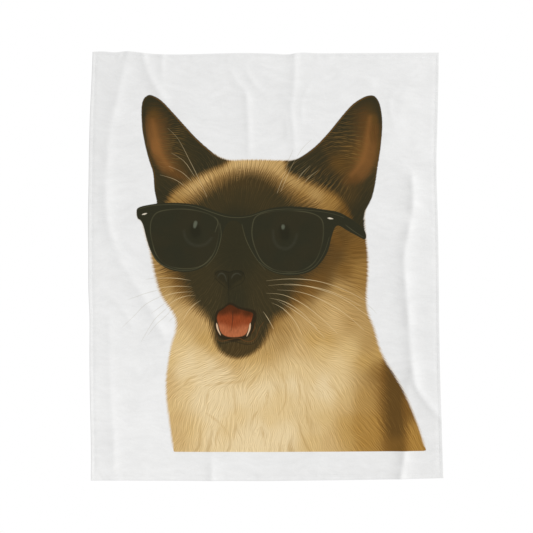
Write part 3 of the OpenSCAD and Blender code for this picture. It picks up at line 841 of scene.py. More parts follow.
class Graph:
    """A few short ways to add nodes to a material."""

    def __init__(self, name):
        self.material = bpy.data.materials.new(name)
        self.material.use_nodes = True
        self.tree = self.material.node_tree
        self.tree.nodes.clear()
        self.output = self.tree.nodes.new("ShaderNodeOutputMaterial")
        self.shader = self.tree.nodes.new("ShaderNodeBsdfPrincipled")
        self.link(self.shader.outputs["BSDF"], self.output.inputs["Surface"])

    def link(self, value, socket):
        """Joins an output to a socket, or sets the socket to a number or colour."""
        if isinstance(value, bpy.types.NodeSocket):
            self.tree.links.new(value, socket)
        else:
            socket.default_value = value

    def node(self, kind, settings=(), **inputs):
        """A node of a kind, with its settings, and its inputs by name."""
        node = self.tree.nodes.new(kind)
        for key, value in dict(settings).items():
            setattr(node, key, value)
        for key, value in inputs.items():
            self.link(value, node.inputs[key])
        return node

    def attribute(self, name, colour=False):
        """A number or a colour that is stored on the mesh."""
        node = self.node("ShaderNodeAttribute", {"attribute_name": name})
        return node.outputs["Color" if colour else "Fac"]

    def vector(self, name):
        """Coordinates that are stored on the mesh."""
        return self.node("ShaderNodeAttribute", {"attribute_name": name}).outputs["Vector"]

    def math(self, operation, a, b=0.0, c=0.0):
        """A sum, such as ADD, on up to three numbers."""
        node = self.node("ShaderNodeMath", {"operation": operation})
        for value, socket in zip((a, b, c), node.inputs):
            self.link(value, socket)
        return node.outputs[0]

    def add(self, a, b):
        """a plus b."""
        return self.math("ADD", a, b)

    def times(self, a, b):
        """a times b."""
        return self.math("MULTIPLY", a, b)

    def swing(self, value, amount):
        """A value from 0 to 1 turned into one from minus to plus half of amount."""
        return self.times(self.add(value, -0.5), amount)

    def step(self, value, low, high, to_low=0.0, to_high=1.0):
        """A smooth step from to_low at low to to_high at high."""
        node = self.node("ShaderNodeMapRange", {"interpolation_type": "SMOOTHSTEP"})
        for name, number in (("Value", value), ("From Min", low), ("From Max", high),
                             ("To Min", to_low), ("To Max", to_high)):
            self.link(number, node.inputs[name])
        return node.outputs["Result"]

    def fade(self, value, low, high, strength=1.0):
        """A smooth fall from strength at low to nothing at high."""
        return self.step(value, low, high, strength, 0.0)

    def mix(self, share, a, b, how="MIX"):
        """Colour a turning into colour b as share goes from 0 to 1."""
        node = self.node("ShaderNodeMix", {"data_type": "RGBA", "blend_type": how})
        self.link(share, node.inputs[0])
        self.link(a, node.inputs[6])
        self.link(b, node.inputs[7])
        return node.outputs[2]

    def brighten(self, colour, share):
        """The colour times one plus share."""
        gain = self.add(share, 1.0)
        grey = self.node("ShaderNodeCombineXYZ", X=gain, Y=gain, Z=gain).outputs[0]
        return self.mix(1.0, colour, grey, "MULTIPLY")

    def noise(self, where, scale, detail=2.0, rough=0.5):
        """Soft noise from 0 to 1."""
        node = self.node("ShaderNodeTexNoise", Vector=where, Scale=scale, Detail=detail, Roughness=rough)
        return node.outputs["Fac"]

    def stretched(self, where, x, y, z=1.0):
        """The coordinates where, each scaled by its own factor."""
        node = self.node("ShaderNodeVectorMath", {"operation": "MULTIPLY"})
        self.link(where, node.inputs[0])
        node.inputs[1].default_value = (x, y, z)
        return node.outputs[0]

    def warped(self, where, scale, reach):
        """The coordinates where, pushed about by noise by up to half of reach."""
        colour = self.node("ShaderNodeTexNoise", Vector=where, Scale=scale, Detail=1.0).outputs["Color"]
        centred = self.node("ShaderNodeVectorMath", {"operation": "SUBTRACT"})
        self.link(colour, centred.inputs[0])
        centred.inputs[1].default_value = (0.5, 0.5, 0.5)
        pushed = self.node("ShaderNodeVectorMath", {"operation": "MULTIPLY_ADD"})
        self.link(centred.outputs[0], pushed.inputs[0])
        pushed.inputs[1].default_value = (reach, reach, 0.0)
        self.link(where, pushed.inputs[2])
        return pushed.outputs[0]

    def strands(self, where, angle, scale, frequency, straight=1.0):
        """Fine strands that lie at an angle, from 0 to 1."""
        node = self.node("ShaderNodeTexGabor", {"gabor_type": "2D"}, Vector=where, Scale=scale,
                         Frequency=frequency, Anisotropy=straight)
        self.link(angle, node.inputs["Orientation"])
        return node.outputs["Value"]

    def paint(self, colour, share):
        """Gives the shader its colour, times one plus share."""
        self.link(self.brighten(colour, share), self.shader.inputs["Base Color"])

    def bump(self, height, strength, distance):
        """Gives the shader a bumpy surface."""
        node = self.node("ShaderNodeBump", Height=height, Strength=strength, Distance=distance)
        self.link(node.outputs["Normal"], self.shader.inputs["Normal"])


def set_pile(graph, sheen, roughness, shine=0.15):
    """The shader's settings for cut pile."""
    graph.shader.inputs["Roughness"].default_value = roughness
    graph.shader.inputs["Specular IOR Level"].default_value = shine
    graph.shader.inputs["Sheen Weight"].default_value = sheen
    graph.shader.inputs["Sheen Roughness"].default_value = 0.45


# Linear colours of the cloth, the thread, the label and the floor
WHITE_ALBEDO = (0.90, 0.90, 0.895, 1.0)
KNIT_ALBEDO = (0.86, 0.86, 0.855, 1.0)
THREAD_ALBEDO = (0.92, 0.92, 0.92, 1.0)
SATIN_ALBEDO = (0.80, 0.79, 0.765, 1.0)
FLOOR_ALBEDO = (0.62, 0.62, 0.62, 1.0)
# How much lighter the dyes are than the tones, because the lit pile takes some of the light away
PRINT_GAIN = 1.12


def painted_pile_shading(graph, where):
    """Painted shading of the pile: lighter and darker patches and streaks where the pile catches the light,
    as a share either side of nothing.
    """
    swirled = graph.warped(graph.warped(where, 5.0, 0.12), 14.0, 0.05)
    broad = graph.noise(graph.stretched(where, 6, 11), 1.0, 3.0, 0.6)
    brushed = graph.noise(graph.stretched(swirled, 16, 52), 1.0, 3.0, 0.6)
    fine = graph.noise(graph.stretched(where, 150, 230), 1.0, 2.0, 0.6)
    share = graph.add(graph.swing(broad, 0.05), graph.swing(brushed, 0.06))
    return graph.add(share, graph.swing(fine, 0.035))


def pile_height(graph, where):
    """Height of the pile's tufts and of its brushed waves, for a bump."""
    tufts = graph.noise(graph.stretched(where, 520, 520), 1.0, 2.0, 0.7)
    waves = graph.noise(graph.stretched(graph.warped(where, 6.0, 0.10), 22, 48), 1.0, 3.0, 0.55)
    return graph.add(graph.times(tufts, 0.25), waves)


def white_pile():
    """Undyed pile, on the hems."""
    g = Graph("white_pile")
    where = g.vector("flat")
    # The white carries painted shading: light and dark patches and streaks of the pile
    g.paint(WHITE_ALBEDO, painted_pile_shading(g, where))
    set_pile(g, 0.25, 0.85)
    g.bump(pile_height(g, where), 0.35, 0.0012)
    return g.material


# What the shaded side of a hair of the coat does to its colour
HAIR_SHADE = (1.0, 0.85, 0.62, 1.0)
# Strands of fur, from fine to coarse: (cells to a metre, strands to a cell, weight)
FUR_STRANDS = [(85.0, 3.4, 1.3), (46.0, 3.1, 2.4), (22.0, 2.8, 1.5)]
# The straight bottom of the print, in metres: where it has ended and where it is whole. Its edge is
# FOOT_FUZZ millimetres soft.
PRINT_FOOT = (-1.412, -1.400)
FOOT_FUZZ = 1.5


def print_tone(name):
    """Linear colour of a named tone of the print."""
    return (*(linear(TONES[name]) * PRINT_GAIN), 1.0)


def draw_lines(g, colour, *groups):
    """The colour, with the lines of some groups drawn over it."""
    for group in groups:
        tone, strength, soft, channels, _, _ = LINES[group]
        drawn = 0.0
        for channel in range(channels):
            off = g.math("ABSOLUTE", g.attribute(f"{group}_{channel}_off"))
            outside = g.math("SUBTRACT", off, g.attribute(f"{group}_{channel}_half"))
            line = g.fade(outside, -soft, soft, strength)
            drawn = line if channel == 0 else g.math("MAXIMUM", drawn, line)
        colour = g.mix(drawn, colour, print_tone(tone))
    return colour


def lying_fur(g, flat):
    """Strands of fur that lie at the angles stored on the mesh, either side of nothing."""
    where = g.warped(flat, 26.0, 0.008)
    turn = g.swing(g.noise(flat, 17.0, 2.0), g.attribute("fur_wander"))
    across = g.add(g.add(g.attribute("fur_angle"), math.pi / 2), turn)
    fur = 0.0
    for scale, frequency, weight in FUR_STRANDS:
        fur = g.add(fur, g.swing(g.strands(where, across, scale, frequency), weight))
    return fur


def coat_fur(g, flat, fur):
    """The coat: single hairs, and on the chest the tan lines between its locks."""
    coat = g.brighten(g.attribute("coat_colour", True), g.times(fur, g.attribute("coat_hairs")))
    coat = g.mix(g.fade(fur, -1.2, 0.1, 0.5), coat, HAIR_SHADE, "MULTIPLY")
    locks = g.strands(g.warped(flat, 9.0, 0.10), g.add(g.attribute("fur_angle"), math.pi / 2), 8.0, 2.6)
    parting = g.times(g.fade(locks, 0.1, 0.45), g.attribute("locks"))
    coat = g.mix(parting, coat, print_tone("tan"))
    return draw_lines(g, coat, "parting")


def dark_fur(g, fur):
    """The dark fur, with light hairs on it, and the ears' linings."""
    hairs = g.attribute("dark_hairs")
    dark = g.brighten(g.attribute("dark_colour", True), g.times(fur, g.times(hairs, 0.5)))
    lining = g.add(g.attribute("lining"), g.times(fur, 0.9))
    lined = g.brighten(g.attribute("lining_colour", True), g.times(fur, 0.14))
    dark = g.mix(g.fade(lining, -1.2, 1.2, 0.88), dark, lined)
    dark = draw_lines(g, dark, "glow")
    return g.mix(g.times(g.step(fur, -0.1, 0.9), hairs), dark, g.attribute("coat_colour", True))


def whole_fur(g, flat, fur, ragged):
    """Coat and dark fur, with a brown edge where they meet, and a brown rim on the ears."""
    edge = g.add(g.attribute("dark"), g.times(ragged, 0.8))
    coat = g.mix(g.fade(edge, -0.2, 1.5, 0.62), coat_fur(g, flat, fur), print_tone("bark"))
    cat = g.mix(g.fade(edge, -1.0, 1.0), coat, dark_fur(g, fur))
    from_rim = g.math("ABSOLUTE", g.add(g.attribute("cat"), 4.0))
    return g.mix(g.times(g.fade(from_rim, 0.5, 3.0, 0.5), g.attribute("ear_rim")), cat, print_tone("bark"))


def with_features(g, flat, cat):
    """The cat with its nose, mouth and tongue, its whiskers and the hairs in its ears."""
    cat = g.mix(g.fade(g.attribute("nose"), -8.0, 4.0, 0.45), cat, print_tone("ink"))
    cat = g.mix(g.fade(g.attribute("mouth"), -3.0, 3.0, 0.9), cat, print_tone("throat"))
    grain = g.noise(g.stretched(flat, 330, 60), 1.0, 2.0, 0.6)
    tongue = g.brighten(g.attribute("tongue_colour", True), g.swing(grain, 0.9))
    cat = g.mix(g.fade(g.attribute("tongue"), -3.0, 1.5), cat, tongue)
    return draw_lines(g, cat, "whisker", "ear_hair")


def cut_out(g, flat, cat, ragged):
    """The cat on white pile: its outline is ragged with hairs, but the bottom of the print is straight."""
    above = g.step(g.node("ShaderNodeSeparateXYZ", Vector=flat).outputs["Y"], *PRINT_FOOT)
    fuzz = g.add(g.times(g.add(g.attribute("fuzz"), -FOOT_FUZZ), above), FOOT_FUZZ)
    outline = g.add(g.attribute("cat"), g.times(g.times(g.times(ragged, 0.8), fuzz), above))
    fringe = g.times(g.step(outline, -4.0, 1.0, 0.0, 0.7), g.step(fuzz, 1.7, 4.0))
    cat = g.mix(fringe, cat, print_tone("sand"))
    # The white around the cat carries painted shading: light and dark patches and streaks of the pile
    white = g.brighten(WHITE_ALBEDO, painted_pile_shading(g, flat))
    colour = g.mix(g.fade(outline, g.times(fuzz, -1.0), fuzz), white, cat)
    return draw_lines(g, colour, "tip")


def with_glasses(g, flat, colour):
    """The glasses over the cat: frame, lenses and the light along their rims."""
    lens = g.attribute("lens")
    colour = g.mix(g.fade(g.attribute("glasses"), -1.0, 1.6), colour, print_tone("frame"))
    smoke = g.step(g.noise(flat, 11.0, 2.0), 0.35, 0.65)
    shaded = g.mix(smoke, print_tone("lens"), print_tone("frame"))
    colour = g.mix(g.fade(lens, -1.5, 1.5), colour, shaded)
    uneven = g.step(g.noise(flat, 9.0, 1.0), 0.35, 0.65, 0.06, 0.3)
    inner = g.fade(g.math("ABSOLUTE", lens), 0.3, 3.0)
    return g.mix(g.times(inner, uneven), colour, print_tone("brass"))


def print_material():
    """Pile with the printed cat."""
    g = Graph("printed_pile")
    flat = g.vector("flat")
    fur = lying_fur(g, flat)
    speckle = g.swing(g.noise(flat, 170.0, 2.0, 0.6), 0.8)
    ragged = g.add(g.times(fur, 0.55), speckle)
    cat = with_features(g, flat, whole_fur(g, flat, fur, ragged))
    colour = with_glasses(g, flat, cut_out(g, flat, cat, ragged))
    colour = draw_lines(g, colour, "pupil", "eye", "rim", "glint")
    colour = draw_lines(g, colour, "lip", "nostril", "dark_line", "pale", "tooth")
    # The whole face carries painted shading: light and dark patches and streaks of the pile over the print
    g.paint(colour, painted_pile_shading(g, flat))
    set_pile(g, 0.01, 0.9, 0.04)
    g.bump(pile_height(g, flat), 0.5, 0.0016)
    return g.material


def knit_material():
    """Knitted backing: fine wales."""
    g = Graph("knit_backing")
    where = g.vector("flat")
    wales = g.node("ShaderNodeTexWave", {"wave_type": "BANDS", "bands_direction": "X"},
                   Vector=where, Scale=160.0, Distortion=0.6, Detail=1.0).outputs["Fac"]
    courses = g.node("ShaderNodeTexWave", {"wave_type": "BANDS", "bands_direction": "Y"},
                     Vector=where, Scale=190.0, Distortion=0.8, Detail=1.0).outputs["Fac"]
    loops = g.times(wales, courses)
    soft = g.noise(g.stretched(where, 8, 20), 1.0, 3.0, 0.6)
    g.paint(KNIT_ALBEDO, g.add(g.swing(loops, 0.05), g.swing(soft, 0.07)))
    set_pile(g, 0.08, 0.9)
    g.bump(loops, 0.3, 0.0004)
    return g.material


def thread_material():
    """Polyester sewing thread."""
    g = Graph("sewing_thread")
    twist = g.noise(g.node("ShaderNodeTexCoord").outputs["Object"], 900.0, 1.0)
    g.paint(THREAD_ALBEDO, g.swing(twist, 0.2))
    g.shader.inputs["Roughness"].default_value = 0.5
    g.shader.inputs["Sheen Weight"].default_value = 0.1
    return g.material


def satin_material():
    """Woven satin of the care label."""
    g = Graph("label_satin")
    where = g.node("ShaderNodeTexCoord").outputs["Object"]
    weave = g.noise(g.stretched(where, 300, 300, 2600), 1.0, 2.0)
    g.paint(SATIN_ALBEDO, g.swing(weave, 0.1))
    g.shader.inputs["Roughness"].default_value = 0.38
    g.shader.inputs["Sheen Weight"].default_value = 0.2
    g.bump(weave, 0.2, 0.0002)
    return g.material


# --------------------------------------------------------------------------------------------------
# Pieces


def set_numbers(piece, name, values):
    """Stores one number for each point of a piece."""
    values = np.resize(np.asarray(values, float), len(piece.data.vertices))
    piece.data.attributes.new(name, "FLOAT", "POINT").data.foreach_set("value", values)


def set_colours(piece, name, values):
    """Stores a linear colour for each point of a piece."""
    full = np.ones((len(piece.data.vertices), 4))
    full[:, :3] = np.resize(values, (len(full), 3))
    piece.data.attributes.new(name, "FLOAT_COLOR", "POINT").data.foreach_set("color", full.ravel())


def set_flat(piece, flat):
    """Stores each point's place on the flat cloth, so that patterns hang with it."""
    values = np.zeros((len(piece.data.vertices), 3))
    values[:, :2] = np.resize(flat, (len(values), 2))
    piece.data.attributes.new("flat", "FLOAT_VECTOR", "POINT").data.foreach_set("vector", values.ravel())


def flat_grid(xs, zs):
    """Flat places of a grid, row by row."""
    x, z = np.meshgrid(xs, zs)
    return np.stack([x.ravel(), z.ravel()], axis=1)


def near_spots(points, spots, reach):
    """Values at points, blended from (x, z, value) spots."""
    known = np.array(spots, float)
    return blend_spots(points, known[:, :2], known[:, 2:], reach)[:, 0]


# How far the spots of each table are blended, in millimetres
SOFT_REACH = 60
HAIR_TABLES = {"coat_hairs": (COAT_HAIRS, 120), "dark_hairs": (DARK_HAIRS, 70), "fuzz": (FUZZ, 60)}
COLOUR_TABLES = {
    "coat_colour": (COAT_SPOTS, 90),
    "dark_colour": (DARK_SPOTS, 90),
    "lining_colour": (LINING_SPOTS, 60),
    "tongue_colour": (TONGUE_SPOTS, 30),
}
# Distances to the edges of the fur, in softnesses, are held within this
FAR = 9
# Face and ears pass their softness to each other over this far either side of the middle between them
HAND_OVER = 25
# The chest's hairs wander and lie in locks. Heights and places across are where that starts and is full.
WANDER = 0.8
CHEST_WANDER = 1.6
WANDER_DOWN = (1020, 1150)
WANDER_RIGHT = (300, 420)
LOCKS = 0.45
LOCKS_DOWN = (1050, 1150)
LOCKS_MIDDLE = -20
LOCKS_ASIDE = (200, 320)
# The ears have a brown rim, which is fainter at their outer ends
EARS_MIDDLE = -10
RIM_ASIDE = (110, 200)
RIM_END = (370, 410)
RIM_FADES = 0.75
RIM_DOWN = (400, 520)


def edge_fields(points):
    """Distances to the soft edges of the dark fur and of the ears' linings, as shares of their softness."""
    mapped = zone_map()
    from_face = zone_distance(points, mapped, [FACE])
    from_ears = zone_distance(points, mapped, [SADDLE, EARS, LININGS])
    nearer_face = ramp(from_ears - from_face, -HAND_OVER, HAND_OVER)
    soft_face, soft_ears, soft_lining = (
        near_spots(points, table, SOFT_REACH) for table in (SOFT_FACE, SOFT_EARS, SOFT_LINING)
    )
    dark = zone_distance(points, mapped, [SADDLE, FACE, EARS, LININGS])
    lining = zone_distance(points, mapped, [LININGS])
    return {
        "dark": np.clip(dark / (soft_ears + (soft_face - soft_ears) * nearer_face), -FAR, FAR),
        "lining": np.clip(lining / soft_lining, -FAR, FAR),
    }


def fur_fields(points):
    """Which way the fur lies, how it varies over the chest, and where the ears have a rim."""
    x, z = points.T
    from_middle = np.abs(x - EARS_MIDDLE)
    return {
        "fur_angle": fur_angle(points),
        "fur_wander": WANDER + CHEST_WANDER * ramp(-z, *WANDER_DOWN) * (1 - ramp(x, *WANDER_RIGHT)),
        "locks": LOCKS * ramp(-z, *LOCKS_DOWN) * (1 - ramp(np.abs(x - LOCKS_MIDDLE), *LOCKS_ASIDE)),
        "ear_rim": ramp(from_middle, *RIM_ASIDE) * (1 - RIM_FADES * ramp(from_middle, *RIM_END))
        * (1 - ramp(-z, *RIM_DOWN)),
    }


def widest(node):
    """The outline of a printed zone that reaches furthest from side to side."""
    return [max(outlines(node), key=lambda loop: np.ptp(loop[:, 0]))]


def zone_fields(points):
    """Distances to the outlines of the cat and of its features."""
    cloth_edge = HALF_W_MM - EDGE_ROLL / MM
    zones = {
        "cat": [loop for loop in outlines("pile_ground") if np.abs(loop[:, 0]).max() < cloth_edge],
        "glasses": widest("print_glasses_frame"),
        "lens": outlines("print_left_lens") + outlines("print_right_lens"),
        "nose": outlines("print_nose"),
        "tongue": outlines("print_tongue"),
        "mouth": widest("print_mouth"),
    }
    return {name: signed_distance(points, loops) for name, loops in zones.items()}


def drawn_fields(points):
    """For each channel of each group of lines: the distance from its lines, and their half width."""
    fields = {}
    for group, (_, _, _, channels, widths, hand_placed) in LINES.items():
        lines = [curve(line, 4) for line in hand_placed]
        chosen = channels_for(lines, channels)
        for channel in range(channels):
            members = [line for line, c in zip(lines, chosen) if c == channel]
            off, half = line_fields(points, members, widths)
            fields[f"{group}_{channel}_off"] = off
            fields[f"{group}_{channel}_half"] = half
    return fields


def blanket_face(material):
    """The pile, with the fields that its print is drawn from."""
    piece = slab("blanket_face", XS, ZS, FACE_Y, 0.0, material)
    flat = flat_grid(XS, ZS)
    points = flat / MM
    set_flat(piece, flat)
    set_baking_map(piece, flat)
    for fields in (edge_fields, fur_fields, zone_fields, drawn_fields):
        for name, values in fields(points).items():
            set_numbers(piece, name, values)
    for name, (table, reach) in HAIR_TABLES.items():
        set_numbers(piece, name, near_spots(points, table, reach))
    for name, (table, reach) in COLOUR_TABLES.items():
        set_colours(piece, name, tone_field(points, table, reach) * PRINT_GAIN)
    return piece


# The baking map's printed side, and the strip for the rest: (size, corner), as shares of the map
PRINTED_MAP = ((0.98, 0.93), (0.01, 0.06))
STRIP_MAP = ((0.98, 0.03), (0.01, 0.01))


def set_baking_map(piece, flat):
    """A map of the face for baked textures: the printed side large, the other side and rim in a strip."""
    mesh = piece.data
    share = np.stack([(flat[:, 0] + HALF_W) / (2 * HALF_W), (flat[:, 1] + HEIGHT) / HEIGHT], axis=1)
    front, behind = (share * size + corner for size, corner in (PRINTED_MAP, STRIP_MAP))
    both = np.concatenate([front, behind])
    corners = np.empty(len(mesh.loops), int)
    mesh.loops.foreach_get("vertex_index", corners)
    counts = np.empty(len(mesh.polygons), int)
    mesh.polygons.foreach_get("loop_total", counts)
    printed = np.repeat(np.arange(len(counts)) < (len(XS) - 1) * (len(ZS) - 1), counts)
    places = np.where(printed[:, None], both[corners], behind[corners % len(flat)])
    layer = mesh.uv_layers.new(name="OFBake")
    layer.data.foreach_set("uv", places.ravel())


def blanket_back(material):
    """The knitted backing."""
    piece = slab("blanket_back", XS, ZS, 0.0, BACK_Y, material)
    set_flat(piece, flat_grid(XS, ZS))
    return piece


# Section of the hem: (inset from the edge, depth behind the pile's root), all round
HEM_SECTION = [(3, -2.2), (1.5, -2.15), (0.6, -1.8), (0.15, -1.1), (0, 0), (0, 1.6), (0.15, 2.7),
               (0.6, 3.4), (1.5, 3.75), (3, 3.8), (6.5, 3.75), (10, 3.45), (13.2, 3.65), (16.4, 3.45),
               (18.2, 3.3), (19, 2.4), (19, 0.82), (11, 0.82), (3, 0.82)]


def hem(name, side, material):
    """One side of the hem, turned to the back, with its ends mitred. side is left, right, top or bottom."""
    insets, depths = np.array(HEM_SECTION).T * MM
    upright = side in ("left", "right")
    stations = ZS if upright else XS
    middle = -HEIGHT / 2 if upright else 0.0
    half = HEIGHT / 2 if upright else HALF_W
    run = (stations - middle) / (half - EDGE_ROLL)
    along = middle + run[:, None] * (half - insets[None])
    inset = np.broadcast_to(insets, along.shape)
    depth = np.broadcast_to(depths, along.shape).ravel()
    if upright:
        x = (inset - HALF_W) if side == "left" else (HALF_W - inset)
        x, z = x.ravel(), along.ravel()
    else:
        z = -inset if side == "top" else inset - HEIGHT
        x, z = along.ravel(), z.ravel()
    columns = len(insets)
    quads = grid_quads(len(stations), columns, wrap=True)
    last = (len(stations) - 1) * columns
    quads.append(tuple(range(columns - 1, -1, -1)))
    quads.append(tuple(range(last, last + columns)))
    if side in ("right", "top"):
        quads = [tuple(reversed(q)) for q in quads]
    piece = make(name, place(x, z, depth), quads, material)
    set_flat(piece, np.stack([x, z], axis=1))
    return piece


STITCH_PITCH = 4 * MM
STITCH_LEN = 3.3 * MM
# How thick a stitch is at places along it: (share of its length from the middle, share of the thread)
STITCH_RINGS = [(-0.28, 0.85), (0.0, 1.0), (0.28, 0.85)]
LOOPER_HALF_W = 0.6 * THREAD_T
SIDES = ("bottom", "right", "top", "left")


def beside(side, run, inset):
    """Flat places at an inset from one side. run goes from -1 to 1 along it, anticlockwise, mitred."""
    wide, tall = HALF_W - inset, HEIGHT / 2 - inset
    middle = -HEIGHT / 2
    if side == "bottom":
        return run * wide, middle - tall + 0 * run
    if side == "right":
        return wide + 0 * run, middle + run * tall
    if side == "top":
        return -run * wide, middle + tall + 0 * run
    return -wide + 0 * run, middle - run * tall


def stitch_shape():
    """Points of one stitch, a spindle of four sides: (along, aside, up) as shares of its size."""
    points = [(-0.5, 0.0, 0.0)]
    for along, thick in STITCH_RINGS:
        points += [(along, -0.5 * thick, 0.1), (along, 0.0, -thick), (along, 0.5 * thick, 0.1),
                   (along, 0.0, 0.2)]
    return np.array([*points, (0.5, 0.0, 0.0)])


def stitch_row(name, inset, material):
    """A row of single stitches all round the face. Each is pulled into the pile at its ends."""
    points, faces = [], []
    for side in SIDES:
        half = (HALF_W if side in ("bottom", "top") else HEIGHT / 2) - inset
        count = int(2 * half / STITCH_PITCH)
        middles = (np.arange(count) + 0.5) * STITCH_PITCH - count * STITCH_PITCH / 2
        along, aside, up = stitch_shape().T
        run = (middles[:, None] + along[None] * STITCH_LEN) / half
        off = inset + np.broadcast_to(aside * THREAD_W, run.shape)
        depth = np.broadcast_to(FACE_Y + up * THREAD_T, run.shape)
        flat_x, flat_z = beside(side, run, inset)
        side_x, side_z = beside(side, run, off)
        if side in ("bottom", "top"):
            flat_z = side_z
        else:
            flat_x = side_x
        first = sum(len(p) for p in points)
        points.append(place(flat_x.ravel(), flat_z.ravel(), depth.ravel()))
        size = len(along)
        for n in range(count):
            a = first + n * size
            rings = [[a + 1 + 4 * r + k for k in range(4)] for r in range(len(STITCH_RINGS))]
            for k in range(4):
                m = (k + 1) % 4
                faces.append((a, rings[0][k], rings[0][m]))
                faces.append((a + size - 1, rings[-1][m], rings[-1][k]))
                faces += [(p[k], q[k], q[m], p[m]) for p, q in zip(rings, rings[1:])]
    return make(name, np.concatenate(points), faces, material)


def looper_zigzag(material):
    """The thread that crosses from row to row on the back of the hem: one closed zigzag."""
    path = []
    for side in SIDES:
        half = (HALF_W if side in ("bottom", "top") else HEIGHT / 2) - ROW_OUTER
        count = 2 * int(half / STITCH_PITCH)
        run = (np.arange(2 * count) + 0.5) / count - 1
        inset = np.where(np.arange(2 * count) % 2 == 0, ROW_OUTER, ROW_INNER)
        path.append(np.stack(beside(side, run, inset), axis=1))
    path = np.concatenate(path)
    ahead = np.roll(path, -1, axis=0) - np.roll(path, 1, axis=0)
    aside = np.stack([-ahead[:, 1], ahead[:, 0]], axis=1) / np.hypot(*ahead.T)[:, None]
    points = []
    for across, up in ((-1, 0), (0, -1), (1, 0), (0, 1)):
        spot = path + aside * across * LOOPER_HALF_W
        depth = np.full(len(path), HEM_BACK_Y + (1 + up) * THREAD_T / 2)
        points.append(place(spot[:, 0], spot[:, 1], depth))
    points = np.stack(points, axis=1).reshape(-1, 3)
    count = len(path)
    faces = []
    for n in range(count):
        m = (n + 1) % count
        faces += [(4 * n + k, 4 * n + (k + 1) % 4, 4 * m + (k + 1) % 4, 4 * m + k) for k in range(4)]
    return make("looper_zigzag", points, faces, material)


# Middle line of the label's section, from its caught end: (across, depth, half thickness)
LABEL_SECTION = [(625.5, 1.25, 0.3), (621, 1.25, 0.4), (617, 1.25, 0.4), (615, 1.3, 0.36),
                 (613, 1.42, 0.3), (609, 1.5, 0.3), (600, 1.48, 0.3), (590, 1.38, 0.3),
                 (581, 1.4, 0.3), (577, 1.42, 0.28), (576.2, 1.42, 0.16)]
LABEL_ROWS = 15
# The satin waves where it is free of the hem, which is between these places across
LABEL_WAVE = 0.12 * MM
LABEL_FREE = (-612 * MM, -590 * MM)


def care_label(material):
    """The folded satin label, from its end under the hem to its free fold."""
    across, middle, half = np.array(LABEL_SECTION).T * MM
    ups = np.linspace(LABEL_LOW.z, LABEL_HIGH.z, LABEL_ROWS)
    section_x = np.concatenate([across, across[::-1]])
    section_y = np.concatenate([middle - half, (middle + half)[::-1]])
    free = ramp(-section_x, *LABEL_FREE)
    columns = len(section_x)
    x = np.tile(section_x, len(ups))
    z = np.repeat(ups, columns)
    wave = np.sin((z - LABEL_LOW.z) / (LABEL_HIGH.z - LABEL_LOW.z) * 2 * math.pi) * LABEL_WAVE
    points = np.stack([x, np.tile(section_y, len(ups)) + wave * np.tile(free, len(ups)), z], axis=1)
    faces = grid_quads(len(ups), columns, wrap=True)
    last = (len(ups) - 1) * columns
    faces += [tuple(range(columns - 1, -1, -1)), tuple(range(last, last + columns))]
    return make("satin_label", points, faces, material)


# --------------------------------------------------------------------------------------------------
# Floor, lights and camera, in metres

FLOOR_DROP = 0.48
FLOOR_RADIUS = 1.15
FLOOR_SIDES = 96
# Where the suns shine from, how far each spreads in degrees, and how strong each is
SUNS = {"key": (1.0, -0.8, 0.30), "back": (-1.0, 0.7, 0.30)}
SUN_SPREAD = 25
SUN_STRENGTH = 2.35
WORLD_GLOW = 0.45
# Width of the picture at the throw, focal length in millimetres, and the middle of the picture: (x, z)
FRAME_W = 1.911
LENS = 85.0
VIEW_CENTRE = (0.009, -0.765)


def add_backdrop():
    """A round grey floor below the throw."""
    turns = [2 * math.pi * k / FLOOR_SIDES for k in range(FLOOR_SIDES)]
    floor_z = -HEIGHT - FLOOR_DROP
    rim = [(FLOOR_RADIUS * math.cos(a), FLOOR_RADIUS * math.sin(a), floor_z) for a in turns]
    g = Graph("floor")
    speckle = g.noise(g.node("ShaderNodeTexCoord").outputs["Object"], 3.0)
    g.paint(FLOOR_ALBEDO, g.swing(speckle, 0.02))
    g.shader.inputs["Roughness"].default_value = 0.9
    make("floor", rim, [tuple(range(FLOOR_SIDES))], g.material, False)


def add_sun(name, shines_from):
    """A soft, even light from one direction."""
    light = bpy.data.lights.new(name, "SUN")
    light.angle = math.radians(SUN_SPREAD)
    light.energy = SUN_STRENGTH
    lamp = bpy.data.objects.new(name, light)
    lamp.rotation_mode = "QUATERNION"
    lamp.rotation_quaternion = Vector(shines_from).to_track_quat("Z", "Y")
    bpy.context.scene.collection.objects.link(lamp)


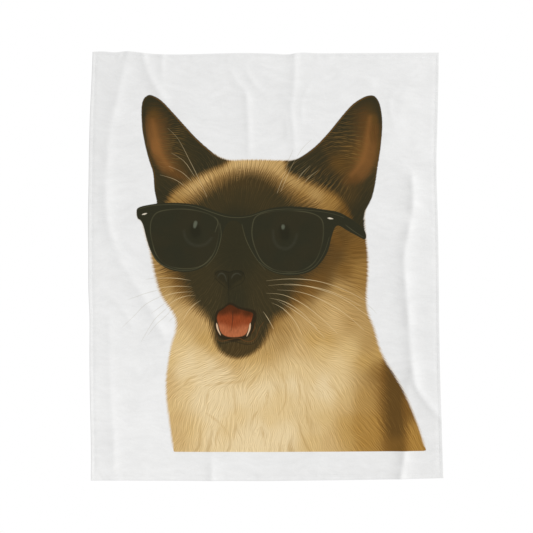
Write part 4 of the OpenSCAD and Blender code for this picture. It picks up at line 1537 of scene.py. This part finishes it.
def add_world():
    """An even white world, which looks brighter than the light that it gives."""
    world = bpy.data.worlds.new("studio")
    bpy.context.scene.world = world
    world.use_nodes = True
    tree = world.node_tree
    tree.nodes.clear()
    out = tree.nodes.new("ShaderNodeOutputWorld")
    mix = tree.nodes.new("ShaderNodeMixShader")
    rays = tree.nodes.new("ShaderNodeLightPath")
    glow = tree.nodes.new("ShaderNodeBackground")
    glow.inputs["Strength"].default_value = WORLD_GLOW
    seen = tree.nodes.new("ShaderNodeBackground")
    seen.inputs["Strength"].default_value = 1.0
    for background in (glow, seen):
        background.inputs["Color"].default_value = (1, 1, 1, 1)
    tree.links.new(rays.outputs["Is Camera Ray"], mix.inputs[0])
    tree.links.new(glow.outputs[0], mix.inputs[1])
    tree.links.new(seen.outputs[0], mix.inputs[2])
    tree.links.new(mix.outputs[0], out.inputs["Surface"])


def add_camera():
    """A long lens square to the throw, with FRAME_W of it across the picture."""
    data = bpy.data.cameras.new("camera")
    data.lens = LENS
    camera = bpy.data.objects.new("camera", data)
    distance = FRAME_W * LENS / data.sensor_width
    camera.location = (VIEW_CENTRE[0], -distance, VIEW_CENTRE[1])
    camera.rotation_euler = (math.pi / 2, 0, 0)
    bpy.context.scene.collection.objects.link(camera)
    bpy.context.scene.camera = camera


add_camera()
add_world()
add_backdrop()
for name, shines_from in SUNS.items():
    add_sun(name, shines_from)
bpy.context.scene.view_settings.view_transform = "Standard"

# --------------------------------------------------------------------------------------------------
# The throw

pile = white_pile()
face = blanket_face(print_material())
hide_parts("pile_ground", *[n for n in NODES if n.startswith("print_")])
back = blanket_back(knit_material())
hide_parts("knit_backing")
hems = []
for side in SIDES:
    strip = hem(f"hem_{side}_roll", side, pile)
    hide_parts(f"hem_{side}")
    hems.append(strip)

thread = thread_material()
threads = [
    stitch_row("stitches_outer", ROW_OUTER, thread),
    stitch_row("stitches_inner", ROW_INNER, thread),
    looper_zigzag(thread),
]
for piece, node in zip(threads, ("needle_thread_outer", "needle_thread_inner", "looper_thread")):
    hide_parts(node)
for piece in [face, back, *hems, *threads]:
    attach(piece, "blanket")

label = care_label(satin_material())
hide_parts("care_label", "care_label_tail")
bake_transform(label)
